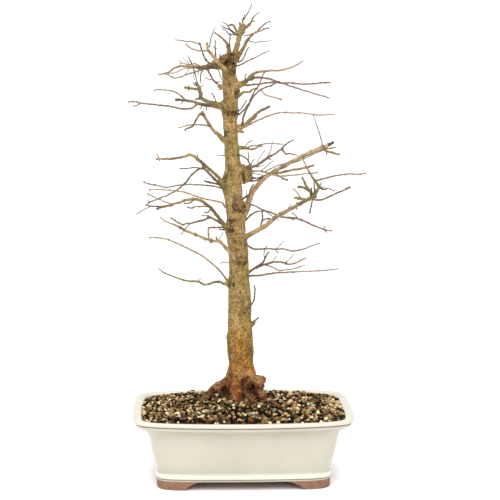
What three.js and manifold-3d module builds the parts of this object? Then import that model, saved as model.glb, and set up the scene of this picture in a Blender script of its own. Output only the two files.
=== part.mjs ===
// A trident maple bonsai in winter, without leaves, in a glazed oblong pot on four low feet.
// Millimetres. +Z up, +X to the right, +Y to the back.
// The origin is on the surface that the pot stands on, below the middle of the pot.

import * as THREE from 'three';
import Module from 'manifold-3d';
import { mergeVertices } from 'three/addons/utils/BufferGeometryUtils.js';

// Driving dimensions of the pot

const RIM_WIDTH = 300;
const RIM_DEPTH = 228;
const POT_HEIGHT = 96;
const FOOT_HEIGHT = 11.5;
const FLOOR_TOP = 22;
const CORNER_SQUARENESS = 10;
const PLAN_POINTS = 48;
const RIM_BOW = 0.18;
const BASE_BOW = 0.07;
const BASE_INSET = 32;
const DEPTH_TAPER = 0.94;
const SIDE_BOW = 0.02;
const CORNER_BUNCHING = 0.75;

// Outer face of the pot: how far it lies in from the rim's edge, and at what height
const OUTER_PROFILE = [
  [32.8, 11.5],
  [31.8, 12.3],
  [32.4, 14.3],
  [31.2, 15.2],
  [31.2, 21],
  [32.6, 23.5],
  [29.8, 32],
  [25, 50],
  [21.4, 67],
  [20.3, 72],
  [18, 76.5],
  [14.5, 80],
  [5.6, 85.2],
  [3.6, 86.4],
  [2.6, 90],
  [0.3, 92],
  [0, 94],
  [1.4, 96],
];

// Inner face of the pot, from the floor to above the rim
const INNER_PROFILE = [
  [43, 22],
  [38.5, 32],
  [33.5, 50],
  [29.5, 69],
  [26, 76],
  [17, 86],
  [14.5, 90],
  [12.8, 96],
];

// The feet are the corners of a low skirt, with wide scoops between them
const FOOT_INSET = 32.4;
const FOOT_WALL = 15;
const FRONT_SCOOP = { floor: 162, top: 114 };
const SIDE_SCOOP = { floor: 88, top: 60 };

const DRAIN_HOLE_RADIUS = 13;
const DRAIN_HOLE_X = 62;
const TIE_HOLE_RADIUS = 3;
const TIE_HOLE_X = 27;
const HOLE_SIDES = 24;
const CUT_MARGIN = 1;
const TIE_ROWS = { anchor_wire_front: -14, anchor_wire_back: 58 };

// Fittings inside the pot

const CLEARANCE = 0.3;
const MESH_PITCH = 7;
const MESH_HOLE = 4.6;
const MESH_HOLES_ACROSS = 5;
const MESH_THICKNESS = 1.2;
const CLIP_WIRE = 1.6;
const CLIP_BEND = 1;
const CLIP_SIDES = 6;
const CLIP_LEG_X = 7;
const CLIP_END_X = 22;
const TIE_WIRE = 2;
const TIE_BEND = 1.6;
const TIE_SIDES = 8;
const TIE_TOP = 84;

// The soil and the loose stones on it

const SOIL_EDGE = 94;
const SOIL_RISE = 10;
const SOIL_SIDE_FALL = 0.6;
const SOIL_FALL_POWER = 4;
const SOIL_RINGS = [1, 0.93, 0.84, 0.7, 0.5, 0.25];
const STONE_COUNT = 30;
const STONE_RADIUS = [2.8, 4.2];
const STONE_DEPTH = [0.75, 1];
const STONE_THICKNESS = [0.6, 0.8];
const STONE_SPREAD = 0.9;
const STONE_SEED = 71;
const RANDOM_STEP = 16807;
const RANDOM_RANGE = 2147483647;

// The tree is drawn on a front drawing, as seen from an eye point before the pot.
// A drawing square is 1.35 mm at the aim, and its rows count down from the top.

const EYE_DISTANCE = 2550;
const EYE_RISE = 7.9;
const EYE_TURN = -2;
const AIM = [10.4, 0, 311.5];
const DRAWING_SQUARE = 1.3505;
const DRAWING_MIDDLE = 250;

const TRUNK_FOOT_DEPTH = 22;
const TRUNK_HEAD_DEPTH = 12;
const TRUNK_SIDES = 12;
const TRUNK_ROUNDNESS = 0.96;
const ROOT_SIDES = 8;
const LIMB_SIDES = 5;

// Outline of the trunk: row, left edge and right edge
const TRUNK_OUTLINE = [
  [56, 227, 236],
  [63, 222, 237],
  [72, 221.8, 236.2],
  [85, 222.5, 240.5],
  [98, 223, 238.2],
  [110, 221.3, 239],
  [122, 223, 236.9],
  [140, 223.8, 238],
  [160, 224.6, 240],
  [172, 224.2, 242.5],
  [185, 221.3, 242.5],
  [200, 225, 243.5],
  [210, 226.2, 247],
  [230, 225, 245.6],
  [250, 228.1, 248.1],
  [266, 229.2, 248.9],
  [281, 227, 249.4],
  [300, 228.3, 251],
  [330, 227.6, 252.5],
  [350, 227, 253.8],
  [364, 229, 253.5],
  [373, 227, 256.5],
  [379, 222, 261],
  [386, 216, 263],
  [395, 213, 262],
  [405, 215, 259],
];

// Each root: start and end depth, thickness along it, and its route on the drawing
const ROOTS = [
  { depths: [18, -2], widths: [26, 24, 20, 15], route: [[229, 374], [217, 384], [205, 396], [196, 408]] },
  { depths: [20, 8], widths: [22, 20, 16, 12], route: [[252, 376], [261, 386], [267, 398], [274, 410]] },
  { depths: [14, -8], widths: [24, 22, 18, 14], route: [[238, 374], [238, 388], [237, 400], [236, 412]] },
  { depths: [26, 62], widths: [24, 20, 16, 10], route: [[242, 374], [250, 384], [262, 392], [276, 402]] },
  { depths: [26, 66], widths: [24, 20, 15, 10], route: [[240, 376], [228, 384], [214, 392], [200, 402]] },
];

const BURLS = [
  { at: [261.5, 379.5], depth: 12, width: 15 },
  { at: [226.5, 61.5], depth: 12, width: 20 },
  { at: [218, 64], depth: 12, width: 12 },
  { at: [242, 29], depth: 10, width: 10 },
  { at: [246, 178], depth: 10, width: 16 },
  { at: [228.5, 228], depth: 8, width: 14 },
  { at: [240, 128], depth: 10, width: 9 },
  { at: [251, 78], depth: 1, width: 7 },
  { at: [250, 166], depth: 1, width: 7 },
  { at: [202.5, 114], depth: -9, width: 6 },
  { at: [313, 196], depth: -59, width: 8.5 },
  { at: [319.5, 187], depth: -52, width: 6 },
  { at: [171, 205], depth: -58, width: 5 },
  { at: [158, 208.5], depth: -74, width: 4.5 },
  { at: [208.5, 217], depth: -3, width: 5 },
];

const CROWN_LIMBS = [
  { depths: [12, 10], widths: [8, 7, 9, 6], route: [[234, 60], [238, 42], [240, 34], [242, 25]] },
  { depths: [10, 14], widths: [3.4, 2, 1.8], route: [[242, 27], [243, 19], [246, 15], [250, 9], [251.4, 4.5]] },
  { depths: [10, -10], widths: [3.8, 2], route: [[243, 27], [250, 23.5], [255, 16], [259, 12.3]] },
  { depths: [12, -30], widths: [6, 3.4, 2], route: [[236, 60], [244, 47], [253, 34], [262, 30], [269.5, 22]] },
  { depths: [12, -20], widths: [6, 2.4], route: [[229, 56], [226, 42], [219, 35.5], [215.5, 33.3]] },
  { depths: [10, 30], widths: [3.2, 2], route: [[239, 34], [230, 30], [222, 26.5]] },
  { depths: [-6, -16], widths: [2, 1.8], route: [[248, 41.5], [262, 41.5], [270.5, 40.5]] },
  { depths: [12, 40], widths: [2.4, 1.8], route: [[236, 66], [252, 58.7], [268.5, 51.2]] },
];

const UPPER_LEFT_LIMBS = [
  { depths: [8, -25], widths: [5, 4, 3.2], route: [[227, 70], [218, 62], [208.5, 50.5], [207, 42.5]] },
  { depths: [-20, -50], widths: [2.4, 1.8], route: [[208.5, 51], [198, 50.5], [186, 44]] },
  { depths: [8, -5], widths: [2.6, 1.8], route: [[217, 62], [215, 46], [215.5, 40.5]] },
  { depths: [8, 55], widths: [3, 2.2, 1.8], route: [[213, 66], [204, 56], [199.7, 43.6], [175.3, 40]] },
  { depths: [14, -35], widths: [8, 6, 4, 2.6, 1.8], route: [[224, 66.5], [205, 67], [193, 66.5], [178, 66.5], [159, 74.8]] },
  { depths: [-1, 25], widths: [2.4, 1.8], route: [[201, 66.5], [188, 64.3], [179.5, 61]] },
  { depths: [3, 40], widths: [2.6, 1.8], route: [[208, 68], [190, 73.5], [177, 77.8], [165, 74]] },
  { depths: [4, 12], widths: [2.6, 2.4], route: [[208, 68], [214.5, 81.5], [224, 88]] },
  { depths: [12, 30], widths: [7, 5, 3.6], route: [[226, 107], [212, 105.5], [194, 102], [175.5, 100]] },
  { depths: [12, -15], widths: [6, 5, 3.6], route: [[225, 105], [204, 100], [200, 92], [196.5, 82]] },
  { depths: [-8, -15], widths: [3.4, 2.6], route: [[199, 89.5], [184.5, 87.3]] },
  { depths: [26, 0], widths: [2.4, 1.8], route: [[186, 101], [177, 93], [163, 90], [154.5, 90.5]] },
  { depths: [22, 90], widths: [2.8, 2.2, 1.9], route: [[197, 103], [191, 108.5], [172, 106.7], [153, 104.5], [128.6, 102]] },
  { depths: [12, -10], widths: [7, 4.4, 3.6], route: [[227, 141], [212, 128.5], [204.5, 116.5], [201.5, 112]] },
  { depths: [-10, -30], widths: [2.8, 2], route: [[202, 113], [195.5, 121], [185.5, 130]] },
  { depths: [-1, -40], widths: [2.2, 1.8], route: [[212, 128], [196, 124.8], [179.5, 127.7]] },
];

const LOWER_LEFT_LIMBS = [
  { depths: [12, -50], widths: [7, 6, 4, 3, 2.4], route: [[228, 184], [211, 170.5], [200, 161], [188, 155], [170, 158.8], [157.3, 159]] },
  { depths: [-11, 40], widths: [3.4, 2.2], route: [[205, 166], [190, 176.5], [177, 190], [146.5, 204.7]] },
  { depths: [14, 70], widths: [2.4, 1.8], route: [[226, 188], [200, 184.8], [176, 185.5], [144.3, 182]] },
  { depths: [12, -15], widths: [2.6, 1.8], route: [[229, 210], [215, 201], [190, 194], [168, 190], [150, 189.8]] },
  { depths: [12, -75], widths: [8, 5.4, 3.8, 3], route: [[231, 231], [218, 217], [207, 204.5], [194, 199], [180, 202.5], [157.3, 209]] },
  { depths: [-57, -90], widths: [2.4, 1.8], route: [[172, 205], [158, 206.3], [146, 208.5], [137.3, 213.7]] },
  { depths: [6, -20], widths: [3.2, 2], route: [[224, 224], [208.5, 217], [192, 223], [171.3, 218]] },
  { depths: [-17, -5], widths: [2.4, 2], route: [[211, 207], [195, 206.5], [188, 207.5]] },
  { depths: [10, -80], widths: [6, 5.4, 4.6, 3.4, 2], route: [[238, 262], [226, 248], [215, 241], [200, 236.5], [180, 227.5], [160.3, 217.3]] },
  { depths: [14, -12], widths: [2.4, 2], route: [[229, 227], [209, 228], [208.7, 237]] },
  { depths: [18, 60], widths: [3, 1.9], route: [[232, 281], [212, 263.5], [193, 251], [150, 237.7]] },
  { depths: [16, -30], widths: [4, 2.4, 1.9], route: [[233, 284], [215, 282], [205, 284.5], [190, 281.3], [159, 269]] },
];

const UPPER_RIGHT_LIMBS = [
  { depths: [12, -50], widths: [8, 5, 3, 2], route: [[234, 87], [250, 76.5], [258, 72], [278, 70.5], [302.5, 61.3]] },
  { depths: [1, 30], widths: [3.2, 1.9], route: [[250, 78.5], [270, 79], [290, 86], [314, 93.5], [328.7, 97.7]] },
  { depths: [10, 80], widths: [3.2, 2], route: [[238, 87], [266, 83], [290, 83], [329, 82.5]] },
  { depths: [12, -20], widths: [3.2, 2], route: [[234, 127], [245, 112], [255, 94.5], [265, 87.5], [279, 82]] },
  { depths: [10, -5], widths: [4, 2], route: [[234, 97], [250, 91.8], [257, 88]] },
  { depths: [-9, -35], widths: [2.2, 2], route: [[262, 89], [270, 96.3], [281, 99.5]] },
  { depths: [12, 40], widths: [2.6, 1.9], route: [[234, 118], [251.5, 97], [259.5, 84], [265, 71.5]] },
  { depths: [12, 35], widths: [6, 4.4, 3.2], route: [[234, 131], [249, 121], [258, 112.5], [269.5, 106.5]] },
  { depths: [10, -60], widths: [3, 1.9], route: [[236, 130], [260, 119.3], [278, 113.3], [300, 113], [333, 114.5]] },
  { depths: [12, -10], widths: [5, 2], route: [[234, 148], [248, 148.5], [262, 146.3]] },
  { depths: [0, 25], widths: [2.2, 1.8], route: [[250, 148.5], [265, 143.8], [282.5, 144.3]] },
  { depths: [12, -40], widths: [5.4, 3.4, 2], route: [[236, 172], [252, 167], [262, 162], [282, 149], [292.7, 140.3]] },
  { depths: [-30, -45], widths: [2.4, 1.8], route: [[281.5, 149.5], [288, 153.7], [296.7, 155.4]] },
  { depths: [6, -30], widths: [3, 2.4], route: [[246, 174], [262, 171.5], [286.7, 179.8]] },
];

const LOWER_RIGHT_LIMBS = [
  { depths: [14, 60], widths: [12, 8, 6.4, 6, 5.6, 4], route: [[236, 222], [249, 200], [258, 185], [269, 174.5], [305, 155], [323, 147.5], [333.7, 142]] },
  { depths: [56, 72], widths: [3.6, 2.8], route: [[324, 148], [339.3, 154.7]] },
  { depths: [54, 40], widths: [2, 1.8], route: [[323, 147.5], [319, 132], [313.5, 115.5]] },
  { depths: [35, 15], widths: [3.6, 2.6], route: [[272, 173.5], [295, 169.5], [313.7, 165.5]] },
  { depths: [35, 48], widths: [2.2, 1.8], route: [[272, 173.5], [300, 174.8], [317, 172.5]] },
  { depths: [14, -59], widths: [8, 6.4, 5.6, 4.6], route: [[238, 242], [257, 230.5], [277, 216.5], [294, 207], [313, 197]] },
  { depths: [-59, -35], widths: [4, 3, 2], route: [[313, 197], [319.5, 187], [308.5, 170.5], [304, 161.3]] },
  { depths: [-49, -75], widths: [2.6, 1.9], route: [[316.5, 182.5], [335, 176], [365.2, 173.3]] },
  { depths: [-52, -44], widths: [2.2, 1.8], route: [[319, 187], [334.5, 190.7]] },
  { depths: [-59, -75], widths: [3.8, 2.2], route: [[312.5, 195], [306, 186], [302.3, 178.3]] },
  { depths: [-57, -70], widths: [3.8, 2.2], route: [[308, 199.5], [294.5, 197.8]] },
  { depths: [-59, -95], widths: [3, 2], route: [[313, 199], [328, 197], [349.3, 187.5]] },
  { depths: [-59, -66], widths: [2.2, 2], route: [[313, 198], [310, 212]] },
  { depths: [14, -20], widths: [3.2, 3, 2.2], route: [[242, 201], [268, 211.7], [283, 217], [301, 220], [331.3, 230.8]] },
  { depths: [10, 3], widths: [3, 2.4], route: [[240, 223], [253, 213.5], [266, 211]] },
  { depths: [4, -8], widths: [2.2, 1.8], route: [[262.5, 210], [262.5, 220.5], [273, 219]] },
  { depths: [12, -70], widths: [4, 2.2, 1.8], route: [[240, 243], [260, 249.2], [284, 249], [298, 250.5], [319, 243.2]] },
  { depths: [16, 20], widths: [4, 2.2, 1.8], route: [[243, 275], [257, 267], [264.5, 260], [268.7, 252.2]] },
  { depths: [17, 50], widths: [3, 2], route: [[257, 267], [270, 263], [285, 263], [305.3, 258.3]] },
  { depths: [22, 60], widths: [2.4, 1.8], route: [[262, 265], [279, 270.3], [304.2, 265.4]] },
  { depths: [16, -15], widths: [3.2, 2], route: [[243, 276.5], [268, 274], [295, 272], [337.3, 269]] },
  { depths: [8, -6], widths: [3, 2], route: [[243.5, 313.5], [252, 304], [255, 292], [254.3, 285.8]] },
  { depths: [14, 8], widths: [7, 3], route: [[245, 330], [257.7, 318.5]] },
];

const LIMBS = [
  ...CROWN_LIMBS,
  ...UPPER_LEFT_LIMBS,
  ...LOWER_LEFT_LIMBS,
  ...UPPER_RIGHT_LIMBS,
  ...LOWER_RIGHT_LIMBS,
];

const wasm = await Module();
wasm.setup();

// Solids and their geometry

function toSolid(geometry) {
  const bare = geometry.clone();
  bare.deleteAttribute('normal');
  bare.deleteAttribute('uv');
  const merged = mergeVertices(bare, 1e-4);
  const mesh = new wasm.Mesh({
    numProp: 3,
    vertProperties: new Float32Array(merged.attributes.position.array),
    triVerts: new Uint32Array(merged.index.array),
  });
  return new wasm.Manifold(mesh);
}

function toGeometry(solid) {
  const mesh = solid.getMesh();
  const geometry = new THREE.BufferGeometry();
  geometry.setAttribute('position', new THREE.BufferAttribute(mesh.vertProperties, 3));
  geometry.setIndex(new THREE.BufferAttribute(mesh.triVerts, 1));
  geometry.computeVertexNormals();
  return geometry;
}

function solidMesh(name, solid, look) {
  const mesh = new THREE.Mesh(toGeometry(solid), new THREE.MeshStandardMaterial(look));
  mesh.name = name;
  return mesh;
}

// A closed skin over rings of points: each ring has the same number of points,
// and runs anticlockwise as seen from the last ring
function skin(rings, looped = false) {
  const around = rings[0].length;
  const positions = [];
  const faces = [];
  rings.flat().forEach((point) => positions.push(point.x, point.y, point.z));
  const spans = looped ? rings.length : rings.length - 1;
  for (let ring = 0; ring < spans; ring += 1) {
    const low = ring * around;
    const high = ((ring + 1) % rings.length) * around;
    for (let i = 0; i < around; i += 1) {
      const next = (i + 1) % around;
      faces.push(low + i, low + next, high + next, low + i, high + next, high + i);
    }
  }
  if (!looped) {
    [rings[0], rings[rings.length - 1]].forEach((ring, end) => {
      const middle = ring.reduce((sum, point) => sum.add(point), new THREE.Vector3()).divideScalar(around);
      const hub = positions.length / 3;
      const first = end * (rings.length - 1) * around;
      positions.push(middle.x, middle.y, middle.z);
      for (let i = 0; i < around; i += 1) {
        const next = (i + 1) % around;
        faces.push(hub, first + (end ? i : next), first + (end ? next : i));
      }
    });
  }
  const geometry = new THREE.BufferGeometry();
  geometry.setAttribute('position', new THREE.Float32BufferAttribute(positions, 3));
  geometry.setIndex(faces);
  return toSolid(geometry);
}

// A round bar of changing width through points. Its rings start from the side that
// is level, or for a bar that starts out steep, from the side that faces right.
const STEEP = 0.9;

function bar(points, widths, sides, looped = false) {
  const last = points.length - 1;
  const tangents = points.map((point, i) => {
    const before = points[i > 0 ? i - 1 : looped ? last : 0];
    const after = points[i < last ? i + 1 : looped ? 0 : last];
    return after.clone().sub(before).normalize();
  });
  const start = tangents[0];
  const reference = Math.abs(start.z) < STEEP ? new THREE.Vector3(0, 0, 1) : new THREE.Vector3(0, 1, 0);
  let side = reference.clone().cross(start).normalize();
  const rings = points.map((point, i) => {
    side = side.clone().addScaledVector(tangents[i], -side.dot(tangents[i])).normalize();
    const top = tangents[i].clone().cross(side);
    return Array.from({ length: sides }, (_, k) => {
      const angle = (2 * Math.PI * k) / sides;
      return point
        .clone()
        .addScaledVector(side, (Math.cos(angle) * widths[i]) / 2)
        .addScaledVector(top, (Math.sin(angle) * widths[i]) / 2);
    });
  });
  return skin(rings, looped);
}

function joined(solids) {
  return solids.reduce((sum, solid) => sum.add(solid));
}

// The front drawing

const turn = THREE.MathUtils.degToRad(EYE_TURN);
const rise = THREE.MathUtils.degToRad(EYE_RISE);
const aim = new THREE.Vector3(...AIM);
const sightLine = new THREE.Vector3(
  -Math.sin(turn) * Math.cos(rise),
  Math.cos(turn) * Math.cos(rise),
  -Math.sin(rise),
);
const eye = aim.clone().addScaledVector(sightLine, -EYE_DISTANCE);
const drawingRight = new THREE.Vector3(Math.cos(turn), Math.sin(turn), 0);
const drawingUp = drawingRight.clone().cross(sightLine);

// The point at a column and row of the drawing, at a depth behind the middle of the pot
function drawn(column, row, depth) {
  const ray = sightLine
    .clone()
    .multiplyScalar(EYE_DISTANCE / DRAWING_SQUARE)
    .addScaledVector(drawingRight, column - DRAWING_MIDDLE)
    .addScaledVector(drawingUp, DRAWING_MIDDLE - row);
  return eye.clone().addScaledVector(ray, (depth - eye.y) / ray.y);
}

// A value along a list of evenly spaced values
function along(values, fraction) {
  const place = fraction * (values.length - 1);
  const low = Math.min(Math.floor(place), values.length - 2);
  return THREE.MathUtils.lerp(values[low], values[low + 1], place - low);
}

function limbSolid({ depths, widths, route }, sides, extra = 0) {
  const steps = route.map(([column, row], i) => {
    const [before, rowBefore] = route[Math.max(i - 1, 0)];
    return Math.hypot(column - before, row - rowBefore);
  });
  const whole = steps.reduce((sum, step) => sum + step, 0);
  let done = 0;
  const points = [];
  const limbWidths = [];
  route.forEach(([column, row], i) => {
    done += steps[i];
    points.push(drawn(column, row, THREE.MathUtils.lerp(depths[0], depths[1], done / whole)));
    limbWidths.push(along(widths, done / whole) + 2 * extra);
  });
  const tip = points[points.length - 1];
  const tipDirection = tip.clone().sub(points[points.length - 2]).normalize();
  tip.addScaledVector(tipDirection, extra);
  return bar(points, limbWidths, sides);
}

function ballSolid(centre, width) {
  const ball = new THREE.IcosahedronGeometry(width / 2, 1);
  ball.translate(centre.x, centre.y, centre.z);
  return toSolid(ball);
}

// The pot

function planPoint(angle, inset, offset = 0) {
  const halfWidth = RIM_WIDTH / 2 - inset - offset;
  const bow = THREE.MathUtils.lerp(RIM_BOW, BASE_BOW, Math.min(inset / BASE_INSET, 1));
  const halfDepth = (RIM_DEPTH / 2 - DEPTH_TAPER * inset - offset) / (1 + bow);
  const width = halfWidth / (1 + SIDE_BOW);
  const x = Math.cos(angle);
  const y = Math.sin(angle);
  const power = CORNER_SQUARENESS;
  const reach = (Math.abs(x / width) ** power + Math.abs(y / halfDepth) ** power) ** (-1 / power);
  const sideways = reach * x * (1 + SIDE_BOW * (1 - ((reach * y) / halfDepth) ** 2));
  const deep = reach * y * (1 + bow * (1 - ((reach * x) / width) ** 2));
  return [sideways, deep];
}

// Plan angles bunched towards the four corners
function planAngles() {
  const corner = Math.atan2(RIM_DEPTH, RIM_WIDTH);
  const quarter = PLAN_POINTS / 4;
  const angles = [];
  const corners = [-corner, corner, Math.PI - corner, Math.PI + corner, 2 * Math.PI - corner];
  for (let i = 0; i < 4; i += 1) {
    for (let k = 0; k < quarter; k += 1) {
      const fraction = k / quarter;
      const eased = fraction - (Math.sin(2 * Math.PI * fraction) / (2 * Math.PI)) * CORNER_BUNCHING;
      angles.push(THREE.MathUtils.lerp(corners[i], corners[i + 1], eased));
    }
  }
  return angles;
}

const PLAN_ANGLES = planAngles();

function planRing(inset, height, offset = 0) {
  return PLAN_ANGLES.map((angle) => {
    const [x, y] = planPoint(angle, inset, offset);
    return new THREE.Vector3(x, y, height);
  });
}

// A round cutter through the floor of the pot
function holeSolid(radius, x, y) {
  const low = FOOT_HEIGHT - CUT_MARGIN;
  const high = FLOOR_TOP + CUT_MARGIN;
  const cutter = new THREE.CylinderGeometry(radius, radius, high - low, HOLE_SIDES);
  cutter.rotateX(Math.PI / 2);
  cutter.translate(x, y, (low + high) / 2);
  return toSolid(cutter);
}

// A scoop through the whole skirt, with a straight ramp down to each foot
function scoopSolid(sizes, reach, alongY) {
  const half = sizes.floor / 2;
  const top = sizes.top / 2;
  const shape = new THREE.Shape();
  shape.moveTo(-half, -CUT_MARGIN);
  shape.lineTo(half, -CUT_MARGIN);
  shape.lineTo(half, 0);
  shape.lineTo(top, FOOT_HEIGHT);
  shape.lineTo(-top, FOOT_HEIGHT);
  shape.lineTo(-half, 0);
  const body = new THREE.ExtrudeGeometry(shape, { depth: 2 * reach, bevelEnabled: false });
  body.rotateX(Math.PI / 2);
  body.translate(0, reach, 0);
  if (!alongY) body.rotateZ(Math.PI / 2);
  return toSolid(body);
}

function feetSolid() {
  const outside = skin([planRing(FOOT_INSET, 0), planRing(FOOT_INSET, FOOT_HEIGHT + CUT_MARGIN)]);
  const inside = skin([
    planRing(FOOT_INSET, -CUT_MARGIN, FOOT_WALL),
    planRing(FOOT_INSET, FOOT_HEIGHT, FOOT_WALL),
  ]);
  return outside
    .subtract(inside)
    .subtract(scoopSolid(FRONT_SCOOP, RIM_WIDTH, true))
    .subtract(scoopSolid(SIDE_SCOOP, RIM_WIDTH, false));
}

function potSolid() {
  const outside = skin(OUTER_PROFILE.map(([inset, height]) => planRing(inset, height)));
  const above = planRing(INNER_PROFILE[INNER_PROFILE.length - 1][0], POT_HEIGHT + CUT_MARGIN);
  const inside = skin([...INNER_PROFILE.map(([inset, height]) => planRing(inset, height)), above]);
  const cuts = [
    holeSolid(DRAIN_HOLE_RADIUS, -DRAIN_HOLE_X, 0),
    holeSolid(DRAIN_HOLE_RADIUS, DRAIN_HOLE_X, 0),
  ];
  Object.values(TIE_ROWS).forEach((row) => {
    cuts.push(holeSolid(TIE_HOLE_RADIUS, -TIE_HOLE_X, row));
    cuts.push(holeSolid(TIE_HOLE_RADIUS, TIE_HOLE_X, row));
  });
  return outside.subtract(inside).add(feetSolid()).subtract(joined(cuts));
}

// Fittings inside the pot

function boxSolid(width, depth, height, x, y, z) {
  const box = new THREE.BoxGeometry(width, depth, height);
  box.translate(x, y, z);
  return toSolid(box);
}

const meshSpan = MESH_HOLES_ACROSS * MESH_PITCH + (MESH_PITCH - MESH_HOLE);
const meshLow = FLOOR_TOP + CLEARANCE;

function drainMeshSolid(x) {
  const plate = boxSolid(meshSpan, meshSpan, MESH_THICKNESS, x, 0, meshLow + MESH_THICKNESS / 2);
  const holes = [];
  const middle = (MESH_HOLES_ACROSS - 1) / 2;
  for (let row = 0; row < MESH_HOLES_ACROSS; row += 1) {
    for (let column = 0; column < MESH_HOLES_ACROSS; column += 1) {
      const holeX = x + (column - middle) * MESH_PITCH;
      const holeY = (row - middle) * MESH_PITCH;
      holes.push(boxSolid(MESH_HOLE, MESH_HOLE, 4 * MESH_THICKNESS, holeX, holeY, meshLow));
    }
  }
  return plate.subtract(joined(holes));
}

function clipSolid(x, extra = 0) {
  const top = meshLow + MESH_THICKNESS + CLEARANCE + CLIP_WIRE / 2;
  const under = FOOT_HEIGHT - CLEARANCE - CLIP_WIRE / 2;
  const points = [
    [-CLIP_END_X, under],
    [-CLIP_LEG_X - CLIP_BEND, under],
    [-CLIP_LEG_X, under + CLIP_BEND],
    [-CLIP_LEG_X, top - CLIP_BEND],
    [-CLIP_LEG_X + CLIP_BEND, top],
    [CLIP_LEG_X - CLIP_BEND, top],
    [CLIP_LEG_X, top - CLIP_BEND],
    [CLIP_LEG_X, under + CLIP_BEND],
    [CLIP_LEG_X + CLIP_BEND, under],
    [CLIP_END_X, under],
  ].map(([px, pz]) => new THREE.Vector3(x + px, 0, pz));
  return bar(points, points.map(() => CLIP_WIRE + 2 * extra), CLIP_SIDES);
}

function tieWireSolid(row, extra = 0) {
  const under = FOOT_HEIGHT - CLEARANCE - TIE_WIRE / 2;
  const points = [
    [-TIE_HOLE_X + TIE_BEND, under],
    [TIE_HOLE_X - TIE_BEND, under],
    [TIE_HOLE_X, under + TIE_BEND],
    [TIE_HOLE_X, TIE_TOP - TIE_BEND],
    [TIE_HOLE_X - TIE_BEND, TIE_TOP],
    [-TIE_HOLE_X + TIE_BEND, TIE_TOP],
    [-TIE_HOLE_X, TIE_TOP - TIE_BEND],
    [-TIE_HOLE_X, under + TIE_BEND],
  ].map(([px, pz]) => new THREE.Vector3(px, row, pz));
  return bar(points, points.map(() => TIE_WIRE + 2 * extra), TIE_SIDES, true);
}

// The tree

function trunkSolid(extra = 0) {
  const [lowest] = TRUNK_OUTLINE[TRUNK_OUTLINE.length - 1];
  const rings = [...TRUNK_OUTLINE].reverse().map(([row, left, right]) => {
    const depth = THREE.MathUtils.mapLinear(row, lowest, 0, TRUNK_FOOT_DEPTH, TRUNK_HEAD_DEPTH);
    const leftEdge = drawn(left, row, depth);
    const rightEdge = drawn(right, row, depth);
    const centre = leftEdge.clone().lerp(rightEdge, 0.5);
    if (row === lowest) centre.z -= extra;
    const radius = leftEdge.distanceTo(rightEdge) / 2 + extra;
    return Array.from({ length: TRUNK_SIDES }, (_, k) => {
      const angle = (2 * Math.PI * k) / TRUNK_SIDES;
      const spoke = new THREE.Vector3(Math.cos(angle), TRUNK_ROUNDNESS * Math.sin(angle), 0);
      return centre.clone().addScaledVector(spoke, radius);
    });
  });
  return skin(rings);
}

function rootsSolid(extra = 0) {
  const roots = ROOTS.map((root) => limbSolid(root, ROOT_SIDES, extra));
  return joined([trunkSolid(extra), ...roots]);
}

function treeSolid() {
  const burls = BURLS.map(({ at, depth, width }) => ballSolid(drawn(...at, depth), width));
  const limbs = LIMBS.map((limb) => limbSolid(limb, LIMB_SIDES));
  return joined([rootsSolid(), ...burls, ...limbs]);
}

// The soil

function soilHeight(x, y) {
  const [edgeX, edgeY] = planPoint(Math.atan2(y, x), INNER_PROFILE[INNER_PROFILE.length - 2][0]);
  const reach = Math.min(Math.hypot(x, y) / Math.hypot(edgeX, edgeY), 1);
  const fall = 1 - SOIL_SIDE_FALL * (x / (RIM_WIDTH / 2)) ** 2;
  return SOIL_EDGE + SOIL_RISE * (1 - reach ** SOIL_FALL_POWER) * fall;
}

function soilSolid() {
  const edge = INNER_PROFILE.filter(([, height]) => height < SOIL_EDGE);
  const rings = edge.map(([inset, height], i) => {
    const lift = i === 0 ? CLEARANCE : 0;
    return planRing(inset, height + lift, CLEARANCE);
  });
  const rim = planRing(edge[edge.length - 1][0], SOIL_EDGE, CLEARANCE);
  SOIL_RINGS.forEach((share) => {
    rings.push(
      rim.map(({ x, y }) => new THREE.Vector3(x * share, y * share, soilHeight(x * share, y * share))),
    );
  });
  return skin(rings);
}

// Loose stones, spread by a fixed pseudo-random sequence

function makeRandom(seed) {
  let state = seed;
  return () => {
    state = (state * RANDOM_STEP) % RANDOM_RANGE;
    return state / RANDOM_RANGE;
  };
}

function stoneSolid(random, x, y, radius) {
  const ball = new THREE.IcosahedronGeometry(radius, 0);
  ball.rotateX(random() * Math.PI);
  ball.rotateZ(random() * Math.PI);
  const depth = THREE.MathUtils.lerp(...STONE_DEPTH, random());
  const thickness = THREE.MathUtils.lerp(...STONE_THICKNESS, random());
  ball.scale(1, depth, thickness);
  ball.rotateZ(random() * Math.PI);
  ball.computeBoundingBox();
  const ground = Math.max(...[-1, 0, 1].map((step) => soilHeight(x + step, y + step)));
  ball.translate(x, y, ground + CLEARANCE - ball.boundingBox.min.z);
  return toSolid(ball);
}

function stoneSolids(neighbours) {
  const random = makeRandom(STONE_SEED);
  const stones = [];
  while (stones.length < STONE_COUNT) {
    const angle = 2 * Math.PI * random();
    const share = STONE_SPREAD * Math.sqrt(random());
    const [edgeX, edgeY] = planPoint(angle, INNER_PROFILE[INNER_PROFILE.length - 2][0]);
    const radius = THREE.MathUtils.lerp(...STONE_RADIUS, random());
    const stone = stoneSolid(random, edgeX * share, edgeY * share, radius);
    const clear = [...neighbours, ...stones].every((other) => stone.minGap(other, 1) > CLEARANCE);
    if (clear) stones.push(stone);
  }
  return stones;
}

// The object

const bonsai = new THREE.Group();
bonsai.name = 'trident_maple_bonsai';

const pot = potSolid();
bonsai.add(solidMesh('pot', pot, { color: '#ece5d2', roughness: 0.22, metalness: 0 }));

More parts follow.
